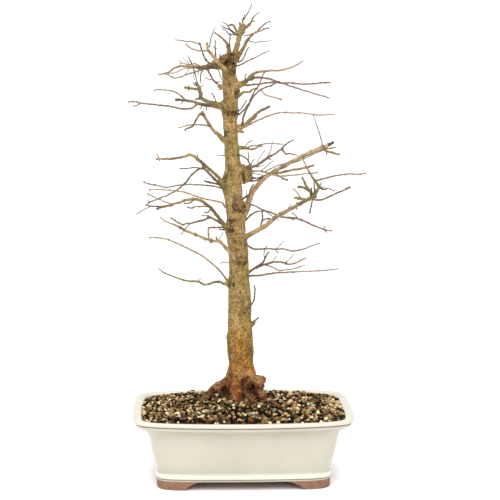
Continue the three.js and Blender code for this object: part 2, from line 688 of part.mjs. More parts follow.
const wireRoom = joined(Object.values(TIE_ROWS).map((row) => tieWireSolid(row, CLEARANCE)));
const tree = treeSolid().subtract(wireRoom);
bonsai.add(solidMesh('tree', tree, { color: '#a08a5c', roughness: 0.85, metalness: 0 }));

const fittingRoom = joined([
  ...[-DRAIN_HOLE_X, DRAIN_HOLE_X].map((x) => clipSolid(x, CLEARANCE)),
  ...[-DRAIN_HOLE_X, DRAIN_HOLE_X].map((x) => {
    const span = meshSpan + 2 * CLEARANCE;
    return boxSolid(span, span, 2 * (MESH_THICKNESS + CLEARANCE), x, 0, meshLow);
  }),
]);
const soil = soilSolid().subtract(rootsSolid(CLEARANCE)).subtract(wireRoom).subtract(fittingRoom);
bonsai.add(solidMesh('soil', soil, { color: '#7c6a52', roughness: 0.95, metalness: 0 }));

[['left', -DRAIN_HOLE_X], ['right', DRAIN_HOLE_X]].forEach(([side, x]) => {
  const meshLook = { color: '#232426', roughness: 0.6, metalness: 0 };
  const clipLook = { color: '#8f8a84', roughness: 0.4, metalness: 0.9 };
  bonsai.add(solidMesh(`drain_mesh_${side}`, drainMeshSolid(x), meshLook));
  bonsai.add(solidMesh(`mesh_clip_${side}`, clipSolid(x), clipLook));
});

Object.entries(TIE_ROWS).forEach(([name, row]) => {
  bonsai.add(solidMesh(name, tieWireSolid(row), { color: '#6e4a34', roughness: 0.45, metalness: 0.9 }));
});

const stoneColours = ['#d8c4a0', '#8c8478', '#7a5638', '#c88a58', '#7a7a3a'];
stoneSolids([tree, pot]).forEach((stone, i) => {
  const look = { color: stoneColours[i % stoneColours.length], roughness: 0.9, metalness: 0 };
  bonsai.add(solidMesh(`stone_${String(i + 1).padStart(2, '0')}`, stone, look));
});

export default bonsai;
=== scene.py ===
"""A trident maple bonsai in winter, in a cream glazed oblong pot. Metres, +Z up, +Y to the back."""
import math
import random

import bmesh
import bpy
import numpy as np
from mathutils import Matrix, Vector, noise
from mathutils.bvhtree import BVHTree


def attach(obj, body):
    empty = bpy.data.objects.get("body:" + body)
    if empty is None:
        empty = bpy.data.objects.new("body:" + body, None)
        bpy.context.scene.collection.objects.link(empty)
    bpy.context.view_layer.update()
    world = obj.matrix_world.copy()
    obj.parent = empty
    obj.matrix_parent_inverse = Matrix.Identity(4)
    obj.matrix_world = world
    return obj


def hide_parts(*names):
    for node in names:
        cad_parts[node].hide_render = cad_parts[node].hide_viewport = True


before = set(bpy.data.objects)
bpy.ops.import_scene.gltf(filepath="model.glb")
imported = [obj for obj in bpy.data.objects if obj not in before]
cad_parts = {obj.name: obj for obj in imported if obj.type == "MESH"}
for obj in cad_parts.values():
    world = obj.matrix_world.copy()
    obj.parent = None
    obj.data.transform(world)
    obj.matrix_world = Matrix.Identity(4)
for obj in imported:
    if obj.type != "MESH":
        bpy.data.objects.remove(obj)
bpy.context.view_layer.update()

MM = 0.001

# The eye point of the front drawing, which is also the camera's place
EYE_DISTANCE = 2550
EYE_RISE = math.radians(7.9)
EYE_TURN = math.radians(-2)
AIM = Vector((10.4, 0, 311.5))
DRAWING_SQUARE = 1.3505
DRAWING_WIDTH = 500
SENSOR_WIDTH = 36

# The studio. A lamp is: how high it stands and how far round from the front in degrees, and its strength
FLOOR_REACH = 30000
PAPER_RADIUS = 420
LAMP_SPREAD = 90
LAMPS = {"left lamp": (60, -44, 2.3), "right lamp": (56, 34, 1.6)}
SKY_STOPS = [(0.0, 1.0), (0.16, 1.0), (0.26, 0.42), (0.6, 0.5), (1.0, 0.9)]
SKY_STRENGTH = 1.3

# The pot, in millimetres
RIM_WIDTH = 300
RIM_DEPTH = 228
CORNER_SQUARENESS = 10
CORNER_BUNCHING = 0.75
RIM_BOW = 0.18
BASE_BOW = 0.07
BASE_INSET = 32
DEPTH_TAPER = 0.94
SIDE_BOW = 0.02
FOOT_HEIGHT = 11.5
FLOOR_TOP = 22
FAN_INSET = 30
FOOT_INSET = 32.4
FOOT_WALL = 15
FOOT_ROUNDING = 0.6
FOOT_OVERLAP = 0.3
FRONT_SCOOP = (162, 114)
SIDE_SCOOP = (88, 60)
SCOOP_STEPS = 9
SCOOP_BULGE = 0.18
DRAIN_HOLE_RADIUS = 13
DRAIN_HOLE_X = 62
TIE_HOLE_RADIUS = 3
TIE_HOLE_X = 27
TIE_ROWS = (-14, 58)
HOLE_SIDES = 48
CUT_MARGIN = 1
CUTTER_RISE = 5
SCOOP_OVERCUT = 0.4
PLAN_STEPS = 208
COVE_STEP = 1.8
SHARP_EDGE = math.radians(38)

# How far the pot's faces lie in from the rim's edge, and at what height
FOOT_TO_PLINTH = [(32.8, 11.5), (31.9, 12), (31.8, 13.4), (32.6, 14.2), (31.3, 15), (31, 16), (31, 20.6)]
COVE = [
    (31.6, 22), (32.8, 23.6), (32, 26), (30, 31.5), (27.6, 40), (25.2, 49), (23.2, 58), (21.6, 66),
    (20.2, 72), (17.6, 76.8), (13.4, 80.6), (8.4, 83.6), (5, 85.2),
]
LIP = [
    (3.8, 86.1), (3, 87.6), (2.8, 89.2), (3.9, 89.8), (4, 90.5), (1.4, 91), (0.4, 91.8), (0, 93), (0.1, 94.4),
    (0.9, 95.5), (2.2, 96), (6, 95.9), (10.5, 95.4), (12.4, 94.6), (13.4, 93),
]
INSIDE = [(14.5, 90), (17, 86), (22, 80.5), (26, 76), (29.5, 69), (33.5, 50), (38.5, 32), (43, 22)]

# Painted shade darkens the glaze along two creases and a little in the cove under the rim; painted light
# lightens it on the plinth band and over the lip
CREASES = (90.2, 14.2)
CREASE_PAINTED_SHADE = 0.1
CREASE_REACH = 1.1
COVE_HEIGHTS = (68, 79, 86, 87)
COVE_PAINTED_SHADE = (1, 0.83, 0.83, 1)
PLINTH_BAND = (15, 21.5)
PLINTH_PAINTED_LIGHT = 0.8
LIP_BAND = 91
LIP_PAINTED_LIGHT = 0.35

# All faces below the first height are bare clay, and level ones below the second, which is near the floor
BARE_CLAY_TOP = 11.85
NEAR_FLOOR = 23
FLOOR_HALF_WIDTH = 80
FLOOR_HALF_DEPTH = 50

# The soil and its grains, in millimetres
SOIL_EDGE = 94
SOIL_RISE = 10
SOIL_SIDE_FALL = 0.6
SOIL_BACK_SINK = 6
SOIL_INSET = 14.5
SOIL_RINGS = 56
SOIL_MIDDLE = 0.02
SOIL_GAP = 0.4
BED_SINK = 2.4
BED_LUMPS = 0.7
BED_LUMP_SIZE = 3
GRAIN_SEED = 7
GRAIN_SHAPES = 12
GRAIN_SPACING = 4.8
GRAIN_ROW = 0.87
GRAIN_SHAKE = 1.1
GRAIN_SINK = (-1.7, 1.1)
GRAIN_TONE_RANGE = (0.65, 1.15)
ROOT_CLEARANCE = 1.05
ROOT_REACH = 30

# The soil block below its top, ring by ring: inset, height and a further even offset
BED_RINGS = [(43.5, 22.5, 0), (22, 78, 6), (14.5, 90, 0.4)]

# A grain's radius: the least, the greatest and the most usual. Its facets and chips: how deep and how close
GRAIN_RADIUS = (1.5, 3.9, 2.1)
FACETS = (0.32, 1.5)
CHIPS = (0.1, 4)

# Where mossy grains gather, and the line of grains along the pot's inner edge
MOSSY_PLACE = (0, -30)
MOSSY_RADIUS = 38
MOSSY_SHARE = 0.3
EDGE_ROW_INSET = 0.6
EDGE_ROW_SHARE = 0.9

# Kinds of grain: tones, share of all, size, and how far they lie above the others in millimetres
GRAIN_KINDS = {
    "pumice_grains": (["#D2BC90", "#B89C6C", "#846A42", "#E6D2A8", "#624A2A"], 0.3, 1.05, 0.4),
    "granite_grains": (["#645438", "#7C6A48", "#3C3020", "#94805A"], 0.1, 1.0, 0.2),
    "akadama_grains": (["#5A3816", "#70461E", "#341C0A", "#8C5A2A", "#241206"], 0.2, 0.95, 0),
    "lava_grains": (["#120803", "#180C05", "#0A0402", "#221206"], 0.34, 1.0, -0.2),
    "mossy_grains": (["#3E3A16", "#4E4A18", "#302C0E", "#665A22"], 0.05, 0.9, 0),
}

# What each kind is, how rough it is and how strongly it shines
GRAIN_FINISHES = {
    "pumice_grains": ("washed pumice grit", 0.92, 0.2),
    "granite_grains": ("crushed granite grit", 0.85, 0.25),
    "akadama_grains": ("baked akadama clay grit", 0.92, 0.15),
    "lava_grains": ("black lava grit", 0.9, 0.12),
    "mossy_grains": ("algae-stained grit", 0.88, 0.2),
}

# The trunk: row of the drawing, left edge and right edge
TRUNK = [
    (54, 228, 235), (57, 225.5, 236.6), (61, 222.8, 237.4), (66, 221.6, 236.8), (70, 221.7, 236.2),
    (75, 222.3, 236.2), (80, 222.6, 238), (85, 222.6, 240.2), (90, 223, 239.5), (95, 223, 239),
    (100, 223, 238.1), (106, 222.4, 238), (110, 221.2, 238.8), (115, 222, 238.5), (120, 223, 236.9),
    (126, 223, 237.2), (130, 223.4, 238.2), (135, 223.4, 237.5), (140, 223.8, 238), (145, 224.4, 238.7),
    (150, 224.2, 239.3), (155, 224.2, 239.6), (160, 224.6, 240), (165, 224.8, 241.8), (170, 224.6, 242),
    (175, 223.3, 241.8), (180, 222, 241.8), (185, 221.4, 242), (190, 222.3, 242.5), (195, 224, 242.7),
    (200, 225, 243), (205, 225.5, 245), (210, 226.2, 246.6), (215, 226.6, 245.5), (220, 226.8, 246),
    (225, 225.7, 245.4), (230, 225, 245.6), (235, 226, 245.8), (240, 227.1, 246.3), (245, 227.6, 247.5),
    (250, 228.1, 248.1), (260, 228.7, 248.7), (270, 229.2, 249.1), (276, 229, 249), (281, 227.2, 249.3),
    (286, 227.3, 249.9), (291, 228.3, 250.4), (300, 228.3, 251), (310, 228.1, 251.3), (320, 228.1, 251.3),
    (330, 227.8, 252.5), (338, 226.8, 253), (345, 227.1, 253.3), (351, 227.1, 253.9), (356, 228, 253.5),
    (362, 229.1, 253.1), (367, 228.6, 254), (371, 227.3, 255.3), (376, 225.8, 256.6), (381, 223.6, 258.4),
    (387, 222, 260), (394, 221, 261), (403, 220, 261),
]
TRUNK_FOOT_ROW = 405
TRUNK_FOOT_DEPTH = 22
TRUNK_HEAD_DEPTH = 12
TRUNK_ROUNDNESS = 0.96
TRUNK_ROW_STEP = 0.9
TRUNK_SIDES = 40
TRUNK_LOBES = 0.035
VOXEL_SIZE = 1.0

# Roots: start and end depth, widths along the root, and the route, on the drawing and in millimetres
ROOTS = [
    ((18, -4), (17, 13, 11, 10, 9, 8),
     [(233, 378), (223, 384.5), (216, 387.5), (208, 395.5), (200, 403), (194, 409)]),
    ((12, -10), (17, 14, 12, 10), [(235, 374), (233.5, 386), (235, 397), (237, 409)]),
    ((12, -6), (15, 12, 11, 10), [(244, 376), (248, 387), (250, 398), (252, 410)]),
    ((18, 2), (16, 13, 11, 10), [(250, 378), (257, 387), (261, 395), (266, 408)]),
    ((26, 60), (22, 16, 12, 9), [(244, 374), (250, 384), (256, 393), (262, 405)]),
    ((26, 62), (22, 16, 12, 9), [(238, 376), (230, 384), (223, 393), (212, 405)]),
    ((20, 34), (16, 12, 9), [(252, 380), (259, 391), (266, 404)]),
]

# Swellings that grow into the trunk: place on the drawing, depth, width and height in millimetres
BURLS = [
    ((256.5, 380.5), 4, 18, 16), ((262.3, 379.5), 8, 10, 11), ((260.5, 386), 6, 11, 13),
    ((251, 374), 8, 11, 9), ((229, 59.5), 10, 15, 12), ((222, 61.5), 10, 14, 12),
    ((215.5, 63.5), 10, 12, 10), ((234, 60), 6, 11, 11), ((209, 65.5), 9, 8, 7), ((231, 67), 4, 10, 9),
    ((225, 57), 10, 9, 9), ((242, 29), 10, 9.5, 16), ((247.6, 173), 9, 15, 13),
    ((248.6, 177.4), 7, 12, 11), ((244, 181), 8, 8, 9), ((243, 177.5), 11, 8, 14),
    ((246.5, 168.5), 6, 8, 8), ((240, 394), 17, 46, 34), ((230, 394), 14, 18, 24),
    ((253, 393), 14, 18, 24), ((243, 166), 10, 6, 6), ((228.8, 228), 7, 13, 18),
    ((222.5, 183.5), 12, 10, 15), ((239.5, 128.5), 8, 8, 9), ((240, 85), 10, 8, 9),
    ((221.5, 87), 12, 7, 7), ((238.5, 205.5), 3.5, 13, 15), ((246, 209), 12, 10, 16),
    ((241, 261), 3.5, 10, 10), ((227.5, 283), 14, 8, 9), ((245.5, 311.5), 3, 4.5, 5),
    ((245, 276), 14, 8, 8), ((223, 107), 12, 9, 9), ((246, 329), 12, 8, 9),
]

# Marks on the bark, on the drawing: column, row, width, height, sink in millimetres, darkness, tone. The
# hollow and shade marks are painted shade inside holes, slits and gaps between roots, and under limbs
MARKS = [
    (232, 59, 14, 9, -0.6, 0.85, "scar"), (229, 64, 10, 6, 0.5, 0.8, "scar"),
    (235, 66, 7, 8, 0.6, 0.7, "scar"), (232, 71, 11, 6, 0.3, 0.65, "scar"),
    (224, 62, 8, 8, 0.6, 0.8, "scar"), (217, 64, 9, 8, 0.5, 0.8, "scar"),
    (236, 92, 2.6, 6, 1.2, 0.95, "hollow"), (236.2, 97, 2.6, 5, 1, 0.9, "hollow"),
    (232, 79, 3, 4, 0.2, 0.4, "scar"), (233, 104, 3, 5, 0.3, 0.5, "moss"),
    (229, 113, 8, 5, 0.4, 0.55, "scar"), (236, 114, 8, 6, 0.5, 0.7, "scar"),
    (224, 110, 5, 6, 0.3, 0.5, "moss"), (231, 122, 4, 5, 0.3, 0.5, "scar"),
    (229, 130, 4, 6, 0.3, 0.5, "moss"), (224, 134, 4, 6, 0.8, 0.8, "hollow"),
    (233, 155, 4, 7, 0.5, 0.5, "moss"), (230, 170, 5, 12, 0.2, 0.35, "moss"),
    (243.4, 178, 2.6, 20, 0.9, 1, "hollow"), (248, 184.5, 9, 7, 0.4, 0.9, "scar"),
    (249, 173, 5, 5, 0.2, 0.6, "moss"), (226, 177, 4, 8, 0.6, 0.7, "shade"),
    (246, 166, 7, 5, 0.3, 0.8, "scar"), (248, 176, 13, 15, 0.2, 0.6, "scar"),
    (222, 181, 5, 6, 0.6, 0.9, "shade"), (222.5, 187, 5, 6, 0.6, 0.9, "shade"),
    (238, 205, 14, 13, 0.3, 0.75, "scar"), (229, 228, 10, 13, 0, 0.6, "scar"),
    (241, 261, 13, 9, 0.2, 0.7, "scar"), (231, 220.5, 11, 4, 0.5, 1, "shade"),
    (236, 234, 9, 3, 0.3, 0.5, "scar"), (230, 55, 9, 4, 0, 0.9, "moss"),
    (212, 65, 12, 8, 0.2, 0.9, "hollow"), (219, 66, 9, 7, 0.3, 0.9, "hollow"),
    (236, 210, 8, 5, 0.5, 0.7, "hollow"), (234, 241, 6, 6, 0.3, 0.4, "moss"),
    (236, 250, 9, 5, 0.2, 0.4, "moss"), (246, 259, 4, 5, 0.3, 0.6, "scar"),
    (235, 258, 4, 4, 0.4, 0.6, "scar"), (230, 282, 4, 9, 0.4, 0.6, "shade"),
    (245.6, 312, 2.4, 2.4, 0.6, 0.9, "hollow"), (240, 297, 10, 1.6, 0.4, 0.4, "moss"),
    (234, 303, 9, 2, 0.3, 0.4, "moss"), (228, 338, 3, 9, -0.8, 0.3, "rust"),
    (243, 322, 7, 1.8, 0.3, 0.4, "moss"), (236, 331, 10, 5, 0.2, 0.4, "rust"),
    (242, 341, 9, 6, 0.2, 0.45, "rust"), (234, 350, 9, 8, 0.2, 0.5, "rust"),
    (245, 356, 9, 7, 0.2, 0.4, "rust"), (236, 362, 12, 8, 0.1, 0.6, "rust"),
    (247, 368, 6, 2.4, 0.9, 0.85, "hollow"), (243, 371, 10, 4, 0.3, 0.7, "rust"),
    (240, 385, 9, 14, 0.6, 0.7, "ember"), (236, 393, 8, 12, 0.4, 0.6, "ember"),
    (232, 379, 7, 8, 0.3, 0.6, "ember"), (229, 352, 4, 20, 0, 0.35, "moss"),
    (250.5, 350, 4, 24, 0, 0.35, "moss"), (240, 282, 14, 26, 0, 0.22, "moss"),
    (240, 343, 13, 12, 0, 0.5, "gold"), (236, 366, 14, 9, 0, 0.45, "gold"),
    (225, 393, 7, 10, 1.4, 1, "hollow"), (219, 398, 8, 6, 1.2, 1, "hollow"),
    (229.5, 386, 3, 9, 1.2, 0.9, "hollow"), (242.5, 384, 5, 12, 1.8, 0.9, "hollow"),
    (250, 391, 6, 8, 1.8, 0.9, "hollow"), (253.5, 387, 5, 5, 1.5, 1, "hollow"),
    (243, 396, 5, 7, 1.5, 0.8, "hollow"), (259, 395, 5, 6, 1.5, 0.85, "hollow"),
    (234, 384, 5, 9, -0.3, 0.8, "ember"), (236, 393, 4, 6, -0.2, 0.8, "ember"),
    (247, 377, 5, 5, 0.2, 0.8, "ember"), (236, 383, 6, 7, -0.3, 0.75, "gold"),
    (234, 365, 6, 5, 0, 0.6, "gold"), (248, 372, 5, 4, -0.2, 0.7, "gold"),
    (246, 381, 8, 8, 0.3, 0.85, "maroon"), (249, 386, 7, 8, 0.6, 0.8, "maroon"),
    (224, 389, 8, 7, 0.5, 0.7, "maroon"), (262, 383, 9, 9, 0.2, 0.5, "maroon"),
    (254, 391, 8, 9, 0.4, 0.8, "maroon"), (229, 392, 7, 10, 0.4, 0.8, "maroon"),
    (241, 376, 5, 4, 0, 0.6, "gold"), (238, 390, 4, 6, -0.2, 0.6, "gold"),
    (244, 363, 5, 4, 0, 0.4, "gold"), (216, 385, 7, 4, 0, 0.7, "lichen"),
    (210, 391, 5, 5, 0, 0.6, "lichen"), (264, 379, 5, 6, 0, 0.7, "ember"),
]

# Healed wounds, ringed by scaly bark, on the drawing: column, row, width, height and how many scales
WOUNDS = [
    (238, 205.5, 13, 13, 24), (244, 210, 6, 8, 8), (229, 228, 9, 13, 18), (241, 261.5, 12, 8, 18),
    (232, 61, 15, 13, 26), (216, 64, 18, 9, 24), (233, 114, 13, 6, 14), (237, 94, 5, 9, 9),
    (223.5, 183, 6, 12, 12), (248, 178, 8, 18, 18), (231, 287, 6, 12, 8), (232, 73, 11, 6, 8),
    (240, 128, 6, 5, 6),
]

# Limbs and twigs. Each row is: tone of the bark, depths, widths along it in millimetres, and its route on
# the drawing. Two depths are those of its ends. One depth is how far the tip is behind its start, which
# then springs from the nearest wood.
CROWN = [
    ("tan", (12, 10), (7.6, 6.6, 6.4, 7.5, 7),
     [(234, 60), (236, 50), (238, 42), (240, 34), (242, 28), (242.5, 24)]),
    ("tan", (12, -30), (5.8, 4.6, 3.8, 2.2, 1.7),
     [(236, 60), (241, 52), (244, 47), (247, 41), (250, 37), (253, 34), (258, 31.5), (262, 30),
      (267.5, 28)]),
    ("brown", -4, (2.2, 1.4), [(257, 32), (260, 28), (263, 25.5), (266, 23), (269.5, 21.5)]),
    ("olive", 6, (1.8, 1.4), [(252, 34.5), (245, 35.5)]),
    ("grey", -10, (1.4, 1.1), [(248, 40.5), (254, 42.3), (262, 41.5), (268, 41.3), (270.5, 40.5)]),
    ("tan", (12, -20), (5.6, 4.2, 2.8, 1.9),
     [(229, 56), (229, 52), (228, 46), (226, 42), (222, 38), (219, 35.5), (215.5, 33.3)]),
    ("olive", 10, (2.8, 2, 1.6), [(229.5, 52), (229.5, 44), (230, 38), (230, 34)]),
    ("olive", 4, (1.6, 1.3), [(229.8, 35.5), (227.5, 32.5), (225, 30), (223, 29)]),
    ("olive", 12, (3.6, 2.8), [(239, 35), (236, 30), (234, 26), (232, 24.5), (229, 25.5)]),
    ("brown", 20, (2.1, 1.5), [(239, 34.5), (233, 33), (230, 30), (226, 28.3), (223, 27), (221, 25.5)]),
    ("brown", 8, (1.9, 1.4), [(235, 33), (231, 30), (228, 26.5), (226.5, 24), (223.5, 22.5)]),
    ("brown", -8, (2.2, 1.7), [(238, 35), (231, 34.5)]),
    ("olive", 2, (3, 2.4), [(240.5, 27), (239.5, 22.5)]),
    ("brown", -3, (1.9, 1.3), [(242, 25), (243, 19), (245, 14.5)]),
    ("brown", (10, 14), (1.9, 1.5, 1.2), [(242.5, 21), (246, 16), (248, 12.5), (250, 9), (251.4, 4.5)]),
    ("tan", (10, -10), (4, 3.2, 2.2, 1.3),
     [(243, 28), (247, 26.5), (250, 23.5), (251.5, 21.5), (253, 18), (255, 16), (257.5, 13.5),
      (259, 12.3)]),
    ("brown", -3, (1.3, 1), [(252.2, 20.5), (254.5, 21.5)]),
    ("brown", -2, (1.3, 0.9), [(249.5, 24.5), (251.5, 26.3)]),
    ("brown", 15, (2.1, 1.4),
     [(236, 62), (240, 61.5), (242.5, 59.5), (244.5, 56), (246.5, 51), (248, 48), (249, 47.3)]),
    ("mauve", (12, 40), (2.2, 1.7, 1.2),
     [(236, 66), (240, 65), (244, 63), (248, 61), (252.3, 58.7), (256, 57.3), (262, 54), (268.5, 51.2)]),
]

UPPER_LEFT = [
    ("pale", (3, -25), (4.4, 4.6, 4.2, 3.8), [(227, 71), (225, 69), (218, 62), (213, 56), (208.5, 50.5)]),
    ("pale", -2, (3.6, 3), [(208.3, 51), (207.5, 48), (207, 42.5)]),
    ("brown", 6, (1.6, 1.1), [(208, 47), (209.5, 46), (211, 38), (213, 33), (214.3, 28)]),
    ("tan", -28, (2.2, 1.5),
     [(208, 50.5), (203, 51), (198, 50.5), (194, 49.5), (190.5, 48), (188.6, 46.6), (186, 44)]),
    ("brown", (8, -5), (2.6, 1.7, 1.3), [(217, 62), (215.6, 57), (215.3, 50), (215, 46), (215.5, 40.5)]),
    ("brown", -3, (1.3, 1.1), [(215.2, 48), (213, 46)]),
    ("brown", 3, (1.3, 1.1), [(215.2, 50), (216.7, 48)]),
    ("brown", 3, (2.4, 1.8), [(221, 59), (220, 54.5)]),
    ("brown", (8, 30), (2.6, 2.2, 2),
     [(213, 66), (208, 62), (206, 60), (204, 56), (202, 51), (200.5, 46), (199.7, 43.6)]),
    ("mauve", 25, (1.9, 1.6, 1.3),
     [(199.7, 43.6), (195, 42.8), (190, 41.3), (186.5, 41.4), (180, 40.3), (175.3, 40)]),
    (("dark", "brown", "tan", "tan", "tan"), (14, -35), (8, 6.8, 6, 4.4, 3, 2.6, 2.2, 1.5),
     [(226, 66.5), (219, 66.5), (212, 66.7), (205, 67), (200, 67.5), (193, 66.5), (185, 66.3), (178, 66.5),
      (174, 68.3), (171, 70.5), (168, 72.5), (164, 73.6), (159, 74.8)]),
    ("tan", 25, (2.1, 1.7, 1.4),
     [(200, 66.5), (196, 63.8), (193, 64), (188, 64.3), (184, 63.5), (181, 62.8), (179.5, 61)]),
    ("brown", -3, (1.3, 1), [(181, 63), (180.5, 66)]),
    ("brown", 5, (1.9, 1.5, 1.2), [(192, 64.5), (190.5, 61), (189.3, 58.5), (188.3, 57)]),
    ("grey", 10, (1.1, 0.9), [(188.5, 64), (188, 62.5), (185, 60), (182.5, 58)]),
    ("tan", 20, (1.9, 1.6, 1.3),
     [(197, 67.3), (190, 68), (184, 68.5), (181, 70), (177, 71.8), (173, 73), (168, 73.5)]),
    ("tan", 34, (2.6, 1.9, 1.5),
     [(208, 68), (206, 69), (201, 70), (196, 71.5), (190, 73.5), (185, 75), (181, 77), (177, 77.8),
      (174.5, 78), (171, 76.5), (168, 75), (165, 74)]),
    ("brown", -8, (1.7, 1.4), [(203, 69), (202.5, 71), (201, 74), (200.5, 78), (200.5, 82)]),
    ("brown", -12, (1.7, 1.3), [(194, 67), (193.5, 68.5), (194, 71), (195.5, 75), (196.5, 80)]),
    ("grey", 3, (1.1, 0.9), [(194.5, 73), (193.5, 75), (194.5, 79)]),
    ("brown", 2, (1.3, 1), [(198, 70.8), (198.3, 74.5)]),
    ("grey", -4, (1.2, 0.9), [(188.5, 68.3), (188, 71), (185.5, 74)]),
    ("mauve", (4, 12), (2.6, 2.4, 2.6),
     [(207, 68), (209.5, 73.5), (212, 78), (214.5, 81.5), (218, 84.5), (221, 87), (226, 89)]),
    ("grey", -6, (1.5, 1.2), [(213.5, 80), (209, 79.3), (206, 78)]),
    ("grey", 3, (1.4, 1.1), [(216, 82), (221.5, 82)]),
    ("brown", -3, (1.9, 1.5), [(222, 87.5), (217, 86.7)]),
    ("brown", -3, (1.9, 1.5), [(223, 88.5), (218.5, 89.5)]),
    ("grey", 4, (1.5, 1.2), [(219, 68), (218.5, 70), (220, 75), (221.5, 79)]),
    (("olive", "brown", "olive", "brown"), (12, 30), (8, 6, 4.6, 4, 3.6, 3.4),
     [(227, 107), (223, 107), (217, 106), (212, 105.5), (206, 105), (200, 104), (194, 102), (189, 101),
      (184, 100), (178, 99.8), (175.5, 100)]),
    ("olive", (12, -6), (6.6, 5, 4.8, 4.8), [(226, 106), (218, 104), (210, 102), (204, 100), (200.5, 97)]),
    ("olive", -9, (5.2, 4.8, 4, 3.4), [(200.8, 97.5), (200, 92), (199.5, 88), (197.5, 85), (196.5, 82)]),
    ("olive", -7, (3.6, 3.3, 3), [(199.5, 89.2), (193, 88.5), (188.5, 88), (184.5, 87.3)]),
    ("brown", -3, (1.5, 1.2), [(188.7, 88), (188.5, 85.5)]),
    ("brown", 3, (1.5, 1.2), [(188.7, 88), (188.5, 90.5)]),
    ("brown", -4, (1.7, 1.3), [(197.7, 85.5), (195, 85), (193.5, 82.5)]),
    ("brown", 4, (1.4, 1.1), [(199.8, 87.5), (203, 85.5)]),
    ("brown", 3, (1.5, 1.2), [(201, 95), (202, 94), (202.7, 92.5)]),
    ("brown", -4, (2.8, 2.2), [(201, 98.3), (195.5, 99.5)]),
    ("olive", -24, (2.3, 1.9, 1.6, 1.5),
     [(186, 100.5), (184.5, 99), (181, 96), (177, 93), (173, 91.3), (168, 90.3), (163, 90), (158, 89.5),
      (154.5, 90.5)]),
    ("grey", 4, (1.4, 1.1), [(183.5, 100.5), (182.5, 102), (180.5, 104.5)]),
    ("mauve", (22, 84), (2.6, 2.4, 2.2, 2.1),
     [(197, 103.5), (196, 105), (194, 107), (191, 108.5), (185, 109), (180, 108.5), (172, 106.7),
      (163, 105.5), (153, 104.5), (144, 103.5), (140, 103.2)]),
    ("mauve", 6, (2.1, 1.9, 1.8), [(140.5, 103.2), (137, 101.8), (133, 101.5), (128.6, 102)]),
    ("mauve", -6, (1.9, 1.6), [(140.5, 103.3), (137.5, 105), (134, 106)]),
    ("brown", 3, (1.5, 1.2), [(206, 105), (206.5, 110)]),
    ("brown", -3, (1.5, 1.2), [(201.7, 105), (201.5, 107), (199.5, 109)]),
    ("mauve", -8, (1.7, 1.4), [(218, 104), (216.7, 102.5), (215, 99), (213, 95), (212, 93.5)]),
    ("grey", -4, (2.1, 1.7), [(224, 100.5), (222, 101.5), (219, 103.5)]),
    ("tan", (12, -10), (7, 5, 4.4, 4, 3.8, 4),
     [(228, 143), (223.5, 140), (219, 135), (215, 132), (212, 128.5), (209, 124), (206.5, 120),
      (204.5, 116.5), (203, 113.5), (201.5, 112)]),
    ("brown", -18, (2.8, 2.3, 2.1),
     [(201.5, 113), (200, 114), (197.5, 117.5), (195.5, 121), (193.5, 125), (191, 127), (187, 128.5),
      (185.5, 130)]),
    ("olive", -36, (2.3, 1.7, 1.3),
     [(211, 127.5), (210, 127), (207, 125.5), (202, 125), (196, 124.8), (190, 125), (185, 126),
      (179.5, 127.7)]),
]

